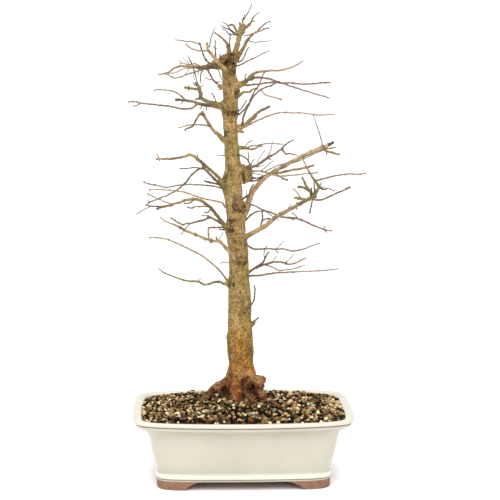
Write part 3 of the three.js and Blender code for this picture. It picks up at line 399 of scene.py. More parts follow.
LOWER_LEFT = [
    (("olive", "tan", "olive", "brown"), (12, -14), (5.6, 4.2, 3.9, 3.9),
     [(226, 185), (222, 181), (217, 176), (211, 170.5), (205, 165.5), (200, 161)]),
    (("olive", "brown", "tan"), (10, -12), (4.6, 3.6, 3.3, 3.3),
     [(225, 188), (218, 182), (213, 177.5), (208, 172), (204, 168.5), (203, 165)]),
    (("olive", "tan", "brown", "tan"), (-13, -50), (4.4, 3.8, 3.1, 2.7, 2.3),
     [(201, 162), (195, 157), (191, 155), (188, 155), (184, 156.5), (178, 158), (170, 158.8), (160, 159),
      (157.3, 159)]),
    ("brown", 4, (1.3, 1.1), [(159, 159), (157.5, 155), (156.5, 153.3)]),
    ("brown", -3, (1.3, 1.1), [(159.7, 159), (159.5, 161)]),
    ("brown", 5, (1.5, 1.2), [(198, 159.2), (197.5, 155), (196.5, 154)]),
    ("brown", -20, (1.6, 1.4),
     [(204.5, 168), (202, 168), (195, 167.5), (190, 168), (185, 168.5), (180.2, 168.7)]),
    (("olive", "brown", "tan", "brown"), (-10, 40), (2.9, 2.4, 2.1, 1.9),
     [(205, 168), (203, 168.5), (199, 169), (195, 172), (190, 176.5), (187, 181), (183, 185), (177, 190),
      (170, 194), (163, 197), (156, 199.5), (150, 202), (146.5, 204.7)]),
    ("mauve", 4, (1.5, 1.3), [(149.5, 202.3), (147, 200.5)]),
    ("brown", -10, (2.6, 2.4), [(222, 186), (217, 184), (210, 182.5), (205.3, 181.4)]),
    ("grey", (14, 70), (2.2, 2, 1.9),
     [(226, 189), (221, 188), (215, 186.5), (210, 185.8), (200, 184.8), (190, 184.5), (183, 184.8),
      (176, 185.5), (166.5, 187.3), (160, 186), (152, 184.5), (147, 183.5), (144.3, 182)]),
    ("tan", (12, -15), (2.6, 2.1, 1.8, 1.6),
     [(229, 210), (226, 208), (222, 203), (215, 201), (210, 200), (205, 199), (197, 196.5), (190, 194),
      (183, 192), (176, 190.8), (168, 190), (160, 189.5), (150, 189.8)]),
    (("olive", "tan", "brown", "olive", "tan", "olive", "brown"), (12, -75), (6, 4.4, 4, 3.8, 3.2, 3, 3),
     [(231, 231), (226, 229), (222, 222), (218, 217), (214, 212), (211, 208), (207, 204.5), (203, 201.5),
      (199, 200), (194, 199), (189, 199.5), (184, 200.5), (180, 202.5), (175, 203.5), (171, 204.7),
      (166, 206), (160, 207.5), (157.3, 209)]),
    ("grey", 12, (1.5, 1.4),
     [(171, 204.5), (170.5, 203.5), (165, 202), (160, 199.5), (155, 197.5), (148.3, 194)]),
    ("brown", 3, (1.5, 1.2), [(194, 199.3), (192.3, 197.5)]),
    ("brown", -6, (1.9, 1.5), [(194, 199.5), (193, 200.5), (191, 202.5), (187, 203.5), (184.5, 203.5)]),
    ("mauve", -14, (2.2, 1.8), [(171.5, 205), (165, 206.5), (158, 206.3), (151, 206.3), (148.5, 205.5)]),
    ("grey", -20, (1.6, 1.3), [(150.5, 206.3), (149.5, 207), (144, 209.5), (139.5, 212.5), (137.3, 213.7)]),
    ("olive", 12, (2.2, 1.8),
     [(209.5, 207), (205, 206.3), (200, 206.5), (195, 206.5), (193, 208), (188, 207.5)]),
    ("brown", -5, (1.9, 1.5), [(212, 209.5), (210, 210), (208, 212), (206.5, 213), (204.3, 212)]),
    (("olive", "tan", "brown", "olive", "brown"), (8, -20), (3.4, 2.8, 2.3, 1.8),
     [(225, 226), (222, 224), (216, 220.5), (210, 217.5), (207, 218.5), (204, 220), (198, 221.5),
      (192, 223), (186, 223.5), (183, 224.7), (179, 223), (175, 220.5), (171.3, 218)]),
    ("grey", -8, (1.4, 1.2), [(191, 223.2), (187.5, 226), (185.5, 229), (183, 232.5), (181.3, 233.6)]),
    ("brown", -4, (1.3, 1.1), [(209, 216.8), (208, 216), (202, 215.3)]),
    ("brown", 4, (1.5, 1.3), [(215, 213), (219, 218), (222, 223)]),
    (("pale", "pale", "tan", "pale", "olive", "tan"), (5, -80), (4.4, 4.3, 4.2, 3.7, 3.2, 3.5, 1.8, 1.2),
     [(237, 261.5), (236, 260), (231, 254), (226, 248), (222, 243.5), (219, 241), (215, 241), (210, 240),
      (205, 238.5), (200, 236.5), (195, 234.5), (190, 232.5), (185, 230.5), (180, 227.5), (176, 225.5),
      (171.5, 223.5), (167, 222), (163, 220), (160.3, 217.3)]),
    ("pale", -3, (2.8, 2.4), [(217, 241), (216.5, 237)]),
    ("tan", (14, -14), (2.6, 2.2),
     [(229, 227), (225, 227), (220, 227.5), (214, 227.5), (209, 228), (208.5, 232), (208.7, 238)]),
    ("brown", -3, (1.3, 1.1), [(207.5, 238.7), (204.5, 241.5)]),
    ("grey", 4, (1.2, 1), [(219.5, 240), (219.7, 238.5), (223, 233)]),
    ("brown", -4, (2.2, 1.7), [(226, 230), (224, 230), (220, 229.5)]),
    (("brown", "tan", "olive", "tan"), (18, 60), (2.4, 2.1, 1.6),
     [(232, 282), (227, 280), (223, 275), (218, 269), (212, 263.5), (206, 258.5), (200, 254.5), (193, 251),
      (187, 248), (180, 244.5), (174, 242), (169, 240), (163, 238.5), (156, 237.7), (150, 237.7)]),
    ("olive", (16, -30), (4, 3, 2.6, 1.9, 1.6),
     [(233, 285), (229, 284), (224, 284), (220, 282), (215, 282), (210, 283.5), (205, 284.8), (200, 282.5),
      (197, 281.5), (190, 281.3), (183, 280), (176, 277.5), (168, 274.5), (163, 272), (159, 269)]),
    ("brown", 3, (1.6, 1.3), [(197.7, 281.7), (197.5, 279.8)]),
    ("grey", 5, (1.3, 1), [(199.5, 282), (199.5, 280), (201.7, 278.2)]),
    ("grey", -5, (1.2, 1), [(231, 262.4), (228.5, 262.5), (222, 262.7), (221, 263.5)]),
    ("grey", -4, (1.3, 1.1), [(227, 155.5), (224, 155.5), (217.5, 155.3)]),
]

UPPER_RIGHT = [
    ("olive", (12, -8), (8, 6, 5, 4, 3.6),
     [(234, 87), (239, 85), (243, 83.5), (247, 80.5), (250, 76.5), (254, 73.5), (257, 72.3)]),
    ("tan", (-7, -50), (3.6, 3, 2.4, 1.8, 1.4),
     [(254, 73.5), (258, 72), (264, 71), (270, 70.8), (278, 70.5), (284, 69.5), (290, 68), (296, 65.5),
      (302.5, 61.3)]),
    ("mauve", 28, (3.2, 2.4, 1.9, 1.6),
     [(250, 77.5), (256, 77.5), (262, 77.8), (270, 79), (276, 81), (280, 82.5), (285, 84), (290, 86),
      (296, 88), (307, 91.3), (314, 93.5), (320, 95.5), (325, 96.5), (328.7, 97.7)]),
    ("mauve", (11, 80), (3, 2.6, 2.2, 2.1),
     [(237, 87), (243, 85.5), (250, 85), (258, 84), (266, 83), (275, 82.3), (284, 83), (290, 83), (297, 84),
      (306, 84), (315, 83.5), (320, 83), (329, 82.5)]),
    ("brown", 3, (1.6, 1.3), [(245.3, 82), (245, 76), (246.5, 74.5)]),
    ("mauve", (12, -20), (3.4, 2.5, 2.2, 1.8),
     [(234, 127), (242, 124), (243, 118), (245, 112), (248, 106.5), (251, 100.5), (255, 94.5), (260, 90),
      (265, 87.5), (270, 86), (274, 84), (279, 82)]),
    ("brown", (12, -4), (1.7, 1.4), [(236, 112), (240, 110), (243, 106.5), (246.7, 100.3)]),
    ("mauve", (12, 40), (2.2, 2, 1.8),
     [(236, 116), (241, 113), (245, 108.5), (249, 103), (251.5, 97), (254, 92), (257, 88.5), (259.5, 84),
      (261.5, 78), (263.5, 74), (265, 71.5)]),
    ("brown", -3, (1.4, 1.1), [(251.6, 96.8), (253, 97.5)]),
    ("olive", (10, -5), (4.4, 3, 2.4, 1.8),
     [(234, 98), (238, 96), (240, 95), (243, 92.5), (247, 92), (250, 91.8), (251.5, 90), (254, 89),
      (257, 88)]),
    ("tan", -26, (1.9, 1.7, 1.9), [(260.5, 89.7), (265, 94.5), (270, 96.3), (275, 97.7), (281, 99.5)]),
    (("olive", "tan", "brown"), (12, 35), (6, 4.6, 3.8, 3.2),
     [(234, 131), (240, 128), (245, 124.5), (249, 121), (253, 117), (258, 112.5), (263, 109.5),
      (269.5, 106.5)]),
    ("olive", 4, (2.8, 2.4), [(244, 126.5), (247, 124), (253, 119.5), (256, 116.5)]),
    ("tan", (8, -60), (3, 2.3, 1.9, 1.6, 1.5),
     [(237, 130), (242, 128), (248, 125.5), (254, 122), (260, 119.3), (266, 117), (272, 115), (278, 113.3),
      (284, 112.5), (292, 112.7), (300, 113), (307, 113.5), (314, 114.4), (322, 115), (333, 114.5)]),
    ("olive", (6, -2), (4, 3.2), [(235, 130), (239, 131), (243.5, 132)]),
    ("olive", (12, 2), (5.6, 4.4, 3, 2.4, 1.8),
     [(234, 148), (238, 148), (243, 147.7), (248, 148.5), (251, 149.3), (255, 148.5), (258, 146.5),
      (262, 146.3)]),
    ("tan", 20, (1.9, 1.6, 1.4),
     [(247, 148), (251, 146), (258, 145.3), (265, 143.8), (272, 143.5), (282.5, 144.3)]),
    ("brown", -6, (1.3, 1.1), [(245, 147.5), (248, 143), (252.5, 140.5)]),
    ("brown", (12, -2), (2.2, 1.7),
     [(236, 155.3), (239.5, 155.3), (244, 156.8), (247, 159), (249, 163), (250, 167)]),
    ("mauve", (12, -40), (6, 4, 3.4, 2.8, 2.2, 1.6),
     [(236, 173), (242, 170), (247, 168), (252, 167), (257, 165), (262, 162), (267, 158), (273, 155),
      (279, 151), (282, 149), (283.5, 146.5), (285.5, 144.5), (290, 141.5), (292.7, 140.3)]),
    ("grey", 8, (1.4, 1.1), [(266.5, 158.3), (270, 152), (271.5, 147), (272.6, 142)]),
    ("brown", -4, (1.5, 1.2), [(248.3, 162), (248.7, 157), (248, 152)]),
    ("brown", 4, (1.5, 1.2), [(250.5, 165.5), (251.5, 163), (254, 159.5)]),
    ("brown", -3, (1.9, 1.6), [(267, 158), (271, 159.6)]),
    ("mauve", -16, (2.4, 1.9, 1.5), [(282, 149), (284, 152), (286, 153.7), (291, 153.7), (296.7, 155.4)]),
    ("grey", 6, (1.2, 1), [(257, 165), (258.5, 160), (261, 155.5), (264.7, 150.7)]),
    ("grey", -5, (1.4, 1.1), [(256, 167.2), (263, 165.5)]),
    ("tan", -28, (2.6, 2.2, 2, 2.2),
     [(250, 168), (253, 171), (258, 170.8), (262, 171.5), (266, 172.5), (272, 174.5), (279, 176.5),
      (284, 179), (286.7, 179.8)]),
    ("grey", -6, (1.3, 1.1), [(261, 171), (267, 166), (272.7, 161)]),
    ("grey", -8, (1.5, 1.2), [(250, 171), (251, 172.5), (257, 174), (262.5, 174.9)]),
    ("brown", (6, -4), (2.4, 1.9), [(247, 179), (252, 178), (258, 178), (264, 175.5)]),
    ("brown", (6, 4), (2.4, 1.9), [(246, 182), (250, 181), (257, 180.5), (262, 178)]),
    ("grey", 16, (1.7, 1.4),
     [(265, 172), (266, 171), (272, 168), (278, 165.3), (285, 163.5), (292, 161.5)]),
    ("brown", (12, 4), (2, 1.5), [(243, 199), (248.5, 195), (250, 190), (251.5, 187), (253.5, 185)]),
    ("grey", (12, 16), (1.4, 1.1), [(242, 199), (246.5, 195), (246.6, 191)]),
]

LOWER_RIGHT = [
    ("pale", (14, 58), (11, 8.6, 7, 6.4, 5.8, 5.4, 5.4, 5.6, 6, 5.4),
     [(240, 218), (245.5, 209), (249, 200), (251, 195), (254, 190), (258, 185), (263, 179.5), (269, 174.5),
      (276, 170), (285, 165.5), (295, 160), (305, 155), (315, 150.5), (323, 147.5), (328, 145.2)]),
    ("dark", 2, (4.4, 4.2, 3.8), [(326, 146), (331, 143.5), (333.7, 142)]),
    ("brown", 4, (1.8, 1.5), [(324, 148.5), (330, 148.5), (335.5, 147.5)]),
    ("tan", 12, (3.4, 3), [(324.5, 148.5), (326, 151), (332, 152.5), (339.3, 154.7)]),
    ("brown", 2, (1.5, 1.3), [(326, 151), (327, 154.7)]),
    ("brown", 6, (1.3, 1.1), [(290, 163.5), (300, 160.5), (308, 157), (316, 153), (322, 151)]),
    ("tan", -20, (3.6, 3.2, 2.8),
     [(273, 172), (276, 173), (285, 171.5), (295, 169.5), (305, 168), (313.7, 165.5)]),
    ("tan", 14, (2, 1.7),
     [(276, 172.5), (279, 176), (290, 175.3), (300, 174.5), (307, 173.5), (311, 173.5), (317, 172.5)]),
    ("grey", (54, 38), (1.6, 1.3, 1),
     [(323, 147.5), (321, 139), (319, 132), (317, 126), (315, 120), (313.5, 115.5)]),
    (("olive", "pale", "pale", "tan", "olive"), (14, -59), (9, 6.6, 6, 5.6, 5.2, 4.8, 4.6, 5),
     [(237, 243), (244, 238), (251, 234), (257, 230.5), (262, 228), (267, 224.5), (272, 220.5),
      (277, 216.5), (282, 213.5), (288, 210.5), (294, 207), (300, 204), (306, 200.5), (313, 197)]),
    ("olive", (-59, -52), (4.2, 3.4), [(312, 198), (315, 195), (317, 191), (319.5, 187)]),
    ("olive", (-52, -35), (4.2, 3.2, 2.2, 1.5),
     [(319.5, 188), (318, 185), (315.5, 182), (313.5, 179), (311, 174.5), (308.5, 170.5), (306, 167),
      (305.5, 164.5), (304, 161.3)]),
    (("olive", "tan"), -26, (2.5, 2, 1.6),
     [(314.8, 181), (320, 179.5), (328, 177.5), (335, 176), (343, 174.5), (352, 174), (360, 174.3),
      (365.2, 173.3)]),
    ("brown", -6, (2.2, 1.8), [(319.5, 187), (323, 189.5), (326, 189.5)]),
    ("grey", 8, (1.6, 1.4), [(320, 187.3), (328, 188.5), (334.5, 190.7)]),
    ("brown", -3, (1.3, 1.1), [(319, 186), (322, 182.3)]),
    (("dark", "olive", "olive"), -14, (4, 3.2, 2.4),
     [(312.5, 195.5), (309, 190), (306, 186), (304.5, 182), (302.3, 178.3)]),
    (("dark", "tan"), 8, (3.2, 3), [(311, 192), (305, 188.5), (301, 187), (297.5, 187)]),
    ("brown", -3, (2.2, 2), [(311.5, 192), (311.5, 188)]),
    ("brown", 4, (2.2, 1.7), [(314, 195.5), (314.5, 190), (314, 183)]),
    ("olive", -12, (4, 3.6), [(309, 199.5), (306, 200), (300, 198.5), (294.5, 197.8)]),
    ("grey", -6, (1.5, 1.2), [(301.5, 198.5), (297, 192.5), (293, 188.3)]),
    (("olive", "brown", "brown"), -34, (3, 2.2, 1.9, 2.2),
     [(313, 197.5), (314, 199.5), (318, 200), (323, 199.3), (328, 197), (335, 194), (342, 191),
      (349.3, 187.5)]),
    ("brown", -6, (2, 1.8), [(312.5, 199), (311.5, 205), (310.5, 209.5), (310, 212)]),
    ("brown", -3, (1.9, 1.5), [(297, 205.5), (297, 202.3)]),
    ("brown", 2, (1.9, 1.5), [(296, 206), (297, 209.5)]),
    ("grey", 6, (1.3, 1.1), [(286, 211.5), (291.2, 204.2)]),
    ("mauve", (14, -20), (2.4, 2.1, 2.4, 3, 2.6, 2.2, 1.6),
     [(243, 202), (250, 204.3), (255, 205.8), (259, 207.8), (263, 210), (268, 211.7), (273, 213.3),
      (278, 215.5), (283, 217), (289, 217.8), (296, 218), (301, 220), (307, 222.5), (311, 224.5),
      (317, 226.8), (323, 229), (328, 230.5), (331.3, 230.8)]),
    ("brown", 3, (1.4, 1.1), [(323, 228.8), (325.7, 226.3)]),
    ("brown", -3, (1.4, 1.1), [(323.5, 229.2), (326.7, 232.6)]),
    ("brown", (12, 6), (2.8, 2.2, 1.9),
     [(241, 223), (245, 220.5), (249, 216.5), (253, 213.5), (257, 211.5), (264, 210.8)]),
    ("brown", -5, (2.2, 1.9), [(262, 210.5), (262.5, 216), (262.5, 220.5)]),
    ("brown", -3, (2.2, 1.8), [(262.5, 220), (261, 224), (260.5, 226.5)]),
    ("brown", 3, (2, 1.7), [(262.5, 220.5), (267, 218.7), (273, 219)]),
    ("grey", 4, (1.3, 1.1), [(264.5, 210.8), (270, 214.5), (274, 217.5), (279, 220.6)]),
    ("brown", -3, (1.5, 1.3), [(289.5, 218), (294.3, 220.2)]),
    ("brown", 3, (1.5, 1.3), [(297.5, 218.6), (296, 216), (293, 213.3)]),
    ("brown", -4, (2.2, 1.8), [(245, 238.5), (246, 240), (247.3, 244.5)]),
    ("mauve", (12, -70), (3, 2.6, 2.2, 2, 2, 1.6, 1.3),
     [(241, 243), (245, 244.5), (250, 247), (254, 249), (260, 249.2), (268, 248.7), (276, 249), (284, 249),
      (288, 250), (292.5, 251.3), (298, 250.5), (305, 248.5), (311, 246), (319, 243.2)]),
    ("grey", 6, (1.3, 1), [(276, 249), (280, 245), (283.7, 241.3)]),
    ("brown", -3, (1.5, 1.2), [(276, 249), (277, 252), (278.7, 252.5)]),
    ("brown", 3, (1.3, 1.1), [(265.3, 249), (267, 246.2)]),
    ("brown", -4, (1.4, 1.2), [(264.5, 249), (264, 255), (265, 258)]),
    ("brown", (16, 20), (4, 3, 2.4, 1.8),
     [(243, 276), (248, 273), (253, 269.5), (257, 267), (260, 264.5), (263, 262), (265, 258.5),
      (267, 254.5), (268.7, 252.2)]),
    (("brown", "tan", "tan"), 33, (3.2, 3, 2.6, 2.2, 1.7),
     [(256, 267.5), (263, 265), (268, 263.5), (272, 262), (280, 262), (285, 263), (290, 264.3), (295, 263),
      (300, 260.8), (305.3, 258.3)]),
    ("grey", 4, (1.3, 1), [(272, 262), (276.2, 256.5)]),
    ("grey", 6, (1.3, 1), [(284.8, 262.8), (289, 259.5), (294.2, 253.8)]),
    ("tan", 36, (2, 1.7, 1.4),
     [(264, 264.8), (269, 266), (274, 268), (279, 270.3), (284, 270), (291, 269.3), (298, 267.3),
      (304.2, 265.4)]),
    (("brown", "mauve", "tan", "grey"), (16, -15), (3, 2.4, 2, 1.6, 1.4),
     [(243, 276.5), (249, 276), (254, 275.5), (262, 275.3), (268, 274), (275, 273), (285, 272.5),
      (295, 272), (305, 271.5), (317, 270.8), (327, 270.3), (337.3, 269)]),
    ("brown", (6, -8), (2.8, 2.3, 2, 1.8),
     [(243.5, 313.5), (245.5, 311), (249, 307), (252, 304), (254, 299.5), (254.7, 294), (255, 289),
      (254.3, 285.8)]),
    ("tan", (14, 8), (7, 5, 3.4, 2.4),
     [(244, 331), (250, 326), (253, 323), (255.5, 320.5), (257.7, 318.5)]),
]

LIMBS = CROWN + UPPER_LEFT + LOWER_LEFT + UPPER_RIGHT + LOWER_RIGHT

# Knots along the limbs: place on the drawing and width in millimetres
KNOTS = [
    ((202.5, 114), 5.4), ((171, 205), 4.8), ((157.8, 208.5), 4.2), ((184, 200.5), 4.2),
    ((208.5, 217), 4.4), ((252, 78), 6.4), ((246, 219.5), 3.6), ((250, 166.5), 6.6), ((266.7, 158), 3.6),
    ((282, 149), 4.2), ((286.7, 179.8), 3), ((281, 99.5), 2.6), ((252.3, 58.7), 2.4),
    ((313.5, 114.4), 2.4), ((319.5, 187), 5.4), ((313, 196), 8), ((349.3, 187.5), 3.4),
    ((309.8, 212.2), 3.4), ((286, 263.5), 3.6), ((228, 45), 4.6), ((252, 34.5), 4), ((188.5, 88), 4),
    ((254.5, 21.5), 1.9), ((199.7, 44), 3), ((176.5, 99.8), 4), ((262.8, 211), 3.2), ((262.5, 220.5), 3),
    ((301, 219.5), 3), ((257, 267), 4.4), ((180, 227.5), 4.2), ((195, 234.5), 4.6), ((211, 240.5), 5.2),
    ((323, 148), 6.8), ((282, 213.5), 6), ((204.5, 167), 5.6), ((188, 155.2), 4), ((194, 199.2), 4.4),
    ((178, 66.7), 3.2), ((193, 66.5), 4.6), ((206.5, 67.8), 6.6),
]


BARK_TONES = {
    "pale": "#A08662",
    "tan": "#8D7556",
    "olive": "#756A3B",
    "brown": "#563F29",
    "mauve": "#725849",
    "grey": "#756C65",
    "dark": "#3F2E1A",
}
MARK_TONES = {
    "scar": "#634221",
    # Painted shade: near-black inside holes, slits and the gaps between roots
    "hollow": "#372011",
    "moss": "#635A23",
    "shade": "#3F3718",
    "rust": "#986030",
    "ember": "#8E5226",
    "gold": "#A87838",
    "maroon": "#471B0F",
    "callus": "#7C6240",
    "lichen": "#867353",
}
BUD_TONE = "#5F4230"
KNOT_TONE = "#6E5A34"
DARK_CUT_TONE = "#422A15"
PALE_CUT_TONE = "#8D7048"
DARK_CUT_SHARE = 0.6

# The trunk's own tone and crustiness at a height in millimetres
BARK_STOPS = [
    (100, "#5E2917", 1), (112, "#7F3C21", 1), (126, "#965831", 1), (142, "#B0783C", 1), (165, "#B98941", 1),
    (200, "#AA8D56", 0.95), (250, "#A38F5E", 0.55), (300, "#A89564", 0.4), (420, "#AB966A", 0.4),
    (560, "#A99164", 0.5),
]
BARK_WANDER = (30, 12)

# Patches of another tone: where in the noise they start, how fast they come in, and their greatest share
WIDE_PATCHES = [("#C0A47D", 0.05, 2.4, 0.55), ("#90864E", -0.12, 2.4, 0.5)]
FINE_PATCHES = [("#84783F", -0.12, 1.6, 0.35)]
LIMB_PATCHES = [("#6E6839", 0.1, 2, 0.6), ("#423021", -0.15, 2, 0.6)]
LIMB_PATCH_LENGTH = 16

# The rough base of the trunk: its places in millimetres, and how far its bark goes over to other tones
BASE_HEIGHTS = (118, 150)
BURL_HEIGHTS = (110, 120)
BURL_ROUGHNESS = 0.35
SOFTENING = 0.5
SOFTENING_PASSES = 5
BASE_MIDDLE = 4
BASE_OUTER = (14, 22)
SLOPES = (-0.1, 0.5)
ROOT_SHARE = 0.8
# Painted light and shade on the trunk: how much its tone is lightened facing right and darkened facing left
PAINTED_SIDE_LIGHT = 0.12
EMBER_RANGE = (0.05, 0.4)
EMBER_MOST = 0.6
CREVICE_RANGE = (0.2, 0.5)

# The bark's relief in millimetres: the sizes of its waves, and their heights, with what the base adds
WIDE_WAVE = (16, 16, 30)
FINE_WAVE = (5, 5, 9)
CRUST_SIZE = 9
FLAKE_SIZE = 3.5
WIDE_LIFT = 0.35
FINE_LIFT = 0.4
CRUST_LIFT = (0.3, 2.0)
FLAKE_LIFT = (0.25, 0.9)
CREVICE_SHARE = (0.3, 0.55)

# Scales over a wound: their width, their height as a share of it, their darkness, and their kind and sink
SCALE_SIZE = (1.6, 3.8)
SCALE_STRETCH = (0.5, 1.3)
SCALE_DARKNESS = (0.6, 1)
# The hollow scales are painted shade in their sunken spots
SCALE_KINDS = [("hollow", 1.4), ("hollow", 1), ("hollow", 0.6), ("scar", -0.5), ("callus", -0.8)]

# A mark's reach, how it fades at its edge, and how torn and crumbled it is
MARK_SPREAD = 0.6
MARK_DEPTH = 1.2
MARK_LEAST = 4
MARK_REACH = 2.4
MARK_CORE = 1.5
MARK_FALL = 1.1
MARK_TEAR = 1.3
TEAR_SIZE = 1.9
CRUMB_SIZE = 1.3
CRUMBLE = 1.2
MARK_CRUST = 0.6

# How a limb is built, thick and thin: step along it, gap between nodes, sides and roughness of its skin
THICK_LIMB = 3
THICK_BUILD = (1.5, 14, 12, 0.3)
THIN_BUILD = (1.3, 9, 7, 0.12)
SKIN_LUMP_SIZE = 2.2
NODE_SWELLING = 0.22
NODE_LENGTH = 1.1
UNEVENNESS = 0.18
UNEVEN_LENGTH = 6
NOISE_RANGE = 90
BEND_LENGTH = 14
BEND_SHARE = 0.2
BEND_MOST = 0.6
BEND_START = 6
LIMB_SHADES = (0.84, 0.3)
SMOOTH_CRUST = 0.35
ROUGH_CRUST = 0.6
BLUNT_WIDTH = 2.8
BLUNT_BULGE = 0.08
BLUNT_BEVEL = 0.15
BUDDING_WIDTH = 2.6
BUDDING_LENGTH = 9
BUD_LEAST = 1.3
BUD_SWELLING = 1.15
TIP_BUD_HEIGHT = 1.3
SIDE_BUD = (0.66, 0.8)
BUD_GAP = 8
BUD_CHANCE = 0.6
ROOT_STEP = 2.5
ROOT_SIDES = 14
COLLAR_LEAST_WIDTH = 2.4
COLLAR_NEAR_TRUNK = 10
COLLAR_STEP = 1.5
COLLAR_LENGTH = 12
COLLAR_SIDES = 12
KNOT_ROUGHNESS = 0.9
LIMB_SEED = 23
SCALE_SEED = 11

# Rows of the drawing, and shares of the trunk's width, that a twig can spring from
WOOD_ROWS = range(54, 400, 2)
WOOD_SHARES = (0.15, 0.5, 0.85)
COLLAR_SWELLING = (1.35, 0.45)


# Colours, the drawing and small shapes


def linear(hex_code):
    """An sRGB hex colour as linear red, green, blue and alpha."""
    parts = [int(hex_code[i : i + 2], 16) / 255 for i in (1, 3, 5)]
    return tuple(c / 12.92 if c <= 0.04045 else ((c + 0.055) / 1.055) ** 2.4 for c in parts) + (1.0,)


def patched(base, patches, value):
    """The base colour, going over to a patch's tone where the value is past that patch's start."""
    for tone, start, rate, most in patches:
        past = value - start if start > 0 else start - value
        if past > 0:
            base = base + (np.array(linear(tone)) - base) * min(most, past * rate)
    return base


SIGHT_LINE = Vector(
    (-math.sin(EYE_TURN) * math.cos(EYE_RISE), math.cos(EYE_TURN) * math.cos(EYE_RISE), -math.sin(EYE_RISE))
)
DRAWING_RIGHT = Vector((math.cos(EYE_TURN), math.sin(EYE_TURN), 0))
DRAWING_UP = DRAWING_RIGHT.cross(SIGHT_LINE)
EYE = AIM - SIGHT_LINE * EYE_DISTANCE


def drawn(column, row, depth):
    """The point at a place on the drawing and a depth behind the pot's middle, in millimetres."""
    middle = DRAWING_WIDTH / 2
    ray = SIGHT_LINE * (EYE_DISTANCE / DRAWING_SQUARE)
    ray = ray + DRAWING_RIGHT * (column - middle) + DRAWING_UP * (middle - row)
    return EYE + ray * ((depth - EYE.y) / ray.y)


def trunk_depth(row):
    share = row / TRUNK_FOOT_ROW
    return TRUNK_HEAD_DEPTH + (TRUNK_FOOT_DEPTH - TRUNK_HEAD_DEPTH) * share


def trunk_edges(row):
    """The columns of the trunk's left and right edges at a row of the drawing."""
    rows = [t[0] for t in TRUNK]
    return [float(np.interp(row, rows, [t[edge] for t in TRUNK])) for edge in (1, 2)]


def along(values, share):
    """A value along a list of evenly spaced values."""
    return float(np.interp(share * (len(values) - 1), range(len(values)), values))


def smooth_route(points, step):
    """Points about a step apart on a smooth curve through the given ones, with their shares of its length."""
    padded = [points[0] * 2 - points[1], *points, points[-1] * 2 - points[-2]]
    dense = []
    for before, start, end, after in zip(padded, padded[1:], padded[2:], padded[3:]):
        count = max(2, round((end - start).length / (step / 2)))
        for k in range(count):
            t = k / count
            bend = (end - before) * 0.5 * t + (before * 2 - start * 5 + end * 4 - after) * 0.5 * t**2
            dense.append(start + bend + (start * 3 - end * 3 + after - before) * 0.5 * t**3)
    dense.append(points[-1])
    lengths = np.cumsum([0] + [(b - a).length for a, b in zip(dense, dense[1:])])
    total = float(lengths[-1])
    count = max(2, round(total / step))
    cuts = np.linspace(0, total, count + 1)
    array = np.array([tuple(p) for p in dense])
    smooth = [Vector([float(np.interp(c, lengths, array[:, axis])) for axis in range(3)]) for c in cuts]
    return smooth, cuts / total


class Skin:
    """Vertices and faces of a piece in the making, in millimetres, with one tone at each vertex."""

    def __init__(self):
        self.points = []
        self.faces = []
        self.tones = []

    def add(self, points, faces, tone):
        first = len(self.points)
        self.points.extend(tuple(p) for p in points)
        self.faces.extend(tuple(first + i for i in face) for face in faces)
        tones = tone if isinstance(tone, list) else [tone] * len(points)
        self.tones.extend(tones)

    def object(self, name, material, smooth=True):
        mesh = bpy.data.meshes.new(name)
        mesh.from_pydata([tuple(c * MM for c in p) for p in self.points], [], self.faces)
        if self.tones[0] is not None:
            paint(mesh, self.tones)
        mesh.polygons.foreach_set("use_smooth", [smooth] * len(mesh.polygons))
        mesh.update()
        piece = bpy.data.objects.new(name, mesh)
        bpy.context.scene.collection.objects.link(piece)
        if material:
            mesh.materials.append(material)
        return piece


def paint(mesh, tones):
    """Stores a tone for each vertex, which the materials read."""
    layer = mesh.color_attributes.new("tone", "FLOAT_COLOR", "POINT")
    layer.data.foreach_set("color", np.array(tones, np.float32).ravel())


def ring_faces(count, around):
    """The faces between rings of points that follow each other."""
    faces = []
    for level in range(count - 1):
        low = level * around
        for k in range(around):
            n = (k + 1) % around
            faces.append((low + k, low + n, low + around + n, low + around + k))
    return faces


def lofted(rings):
    """Points and faces of a closed skin over rings, with a fan at each end."""
    around = len(rings[0])
    points = [p for ring in rings for p in ring]
    faces = ring_faces(len(rings), around)
    last = (len(rings) - 1) * around
    for ring, first, flip in ((rings[0], 0, True), (rings[-1], last, False)):
        hub = len(points)
        points.append(sum(ring, Vector()) / around)
        for k in range(around):
            n = (k + 1) % around
            faces.append((hub, first + n, first + k) if flip else (hub, first + k, first + n))
    return points, faces


def tube(skin, centres, widths, sides, tones, end_tone=None, rough=0.0):
    """A round bar through the centres, one tone a ring. Its far end is rounded, or cut flat in a tone."""
    count = len(centres)
    tangents = []
    for i in range(count):
        tangents.append((centres[min(i + 1, count - 1)] - centres[max(i - 1, 0)]).normalized())
    side = tangents[0].orthogonal().normalized()
    points = []
    for i, centre in enumerate(centres):
        side = (side - tangents[i] * side.dot(tangents[i])).normalized()
        up = tangents[i].cross(side)
        for k in range(sides):
            angle = 2 * math.pi * k / sides
            spoke = side * math.cos(angle) + up * math.sin(angle)
            uneven = 1 + rough * noise.noise((centre + spoke * widths[i]) / SKIN_LUMP_SIZE) if rough else 1
            points.append(centre + spoke * (widths[i] / 2 * uneven))
    colours = [tone for tone in tones for _ in range(sides)]
    tip = centres[-1] + tangents[-1] * (widths[-1] * (BLUNT_BULGE if end_tone else 0.5))
    if end_tone:
        points.extend([p.lerp(centres[-1], BLUNT_BEVEL) for p in points[-sides:]])
        colours.extend([end_tone] * sides)
        count += 1
    faces = ring_faces(count, sides)
    last = (count - 1) * sides
    points.extend((centres[0], tip))
    colours.extend((tones[0], end_tone or tones[-1]))
    start, end = len(points) - 2, len(points) - 1
    faces.extend((start, (k + 1) % sides, k) for k in range(sides))
    faces.extend((end, last + k, last + (k + 1) % sides) for k in range(sides))
    skin.add(points, faces, colours)


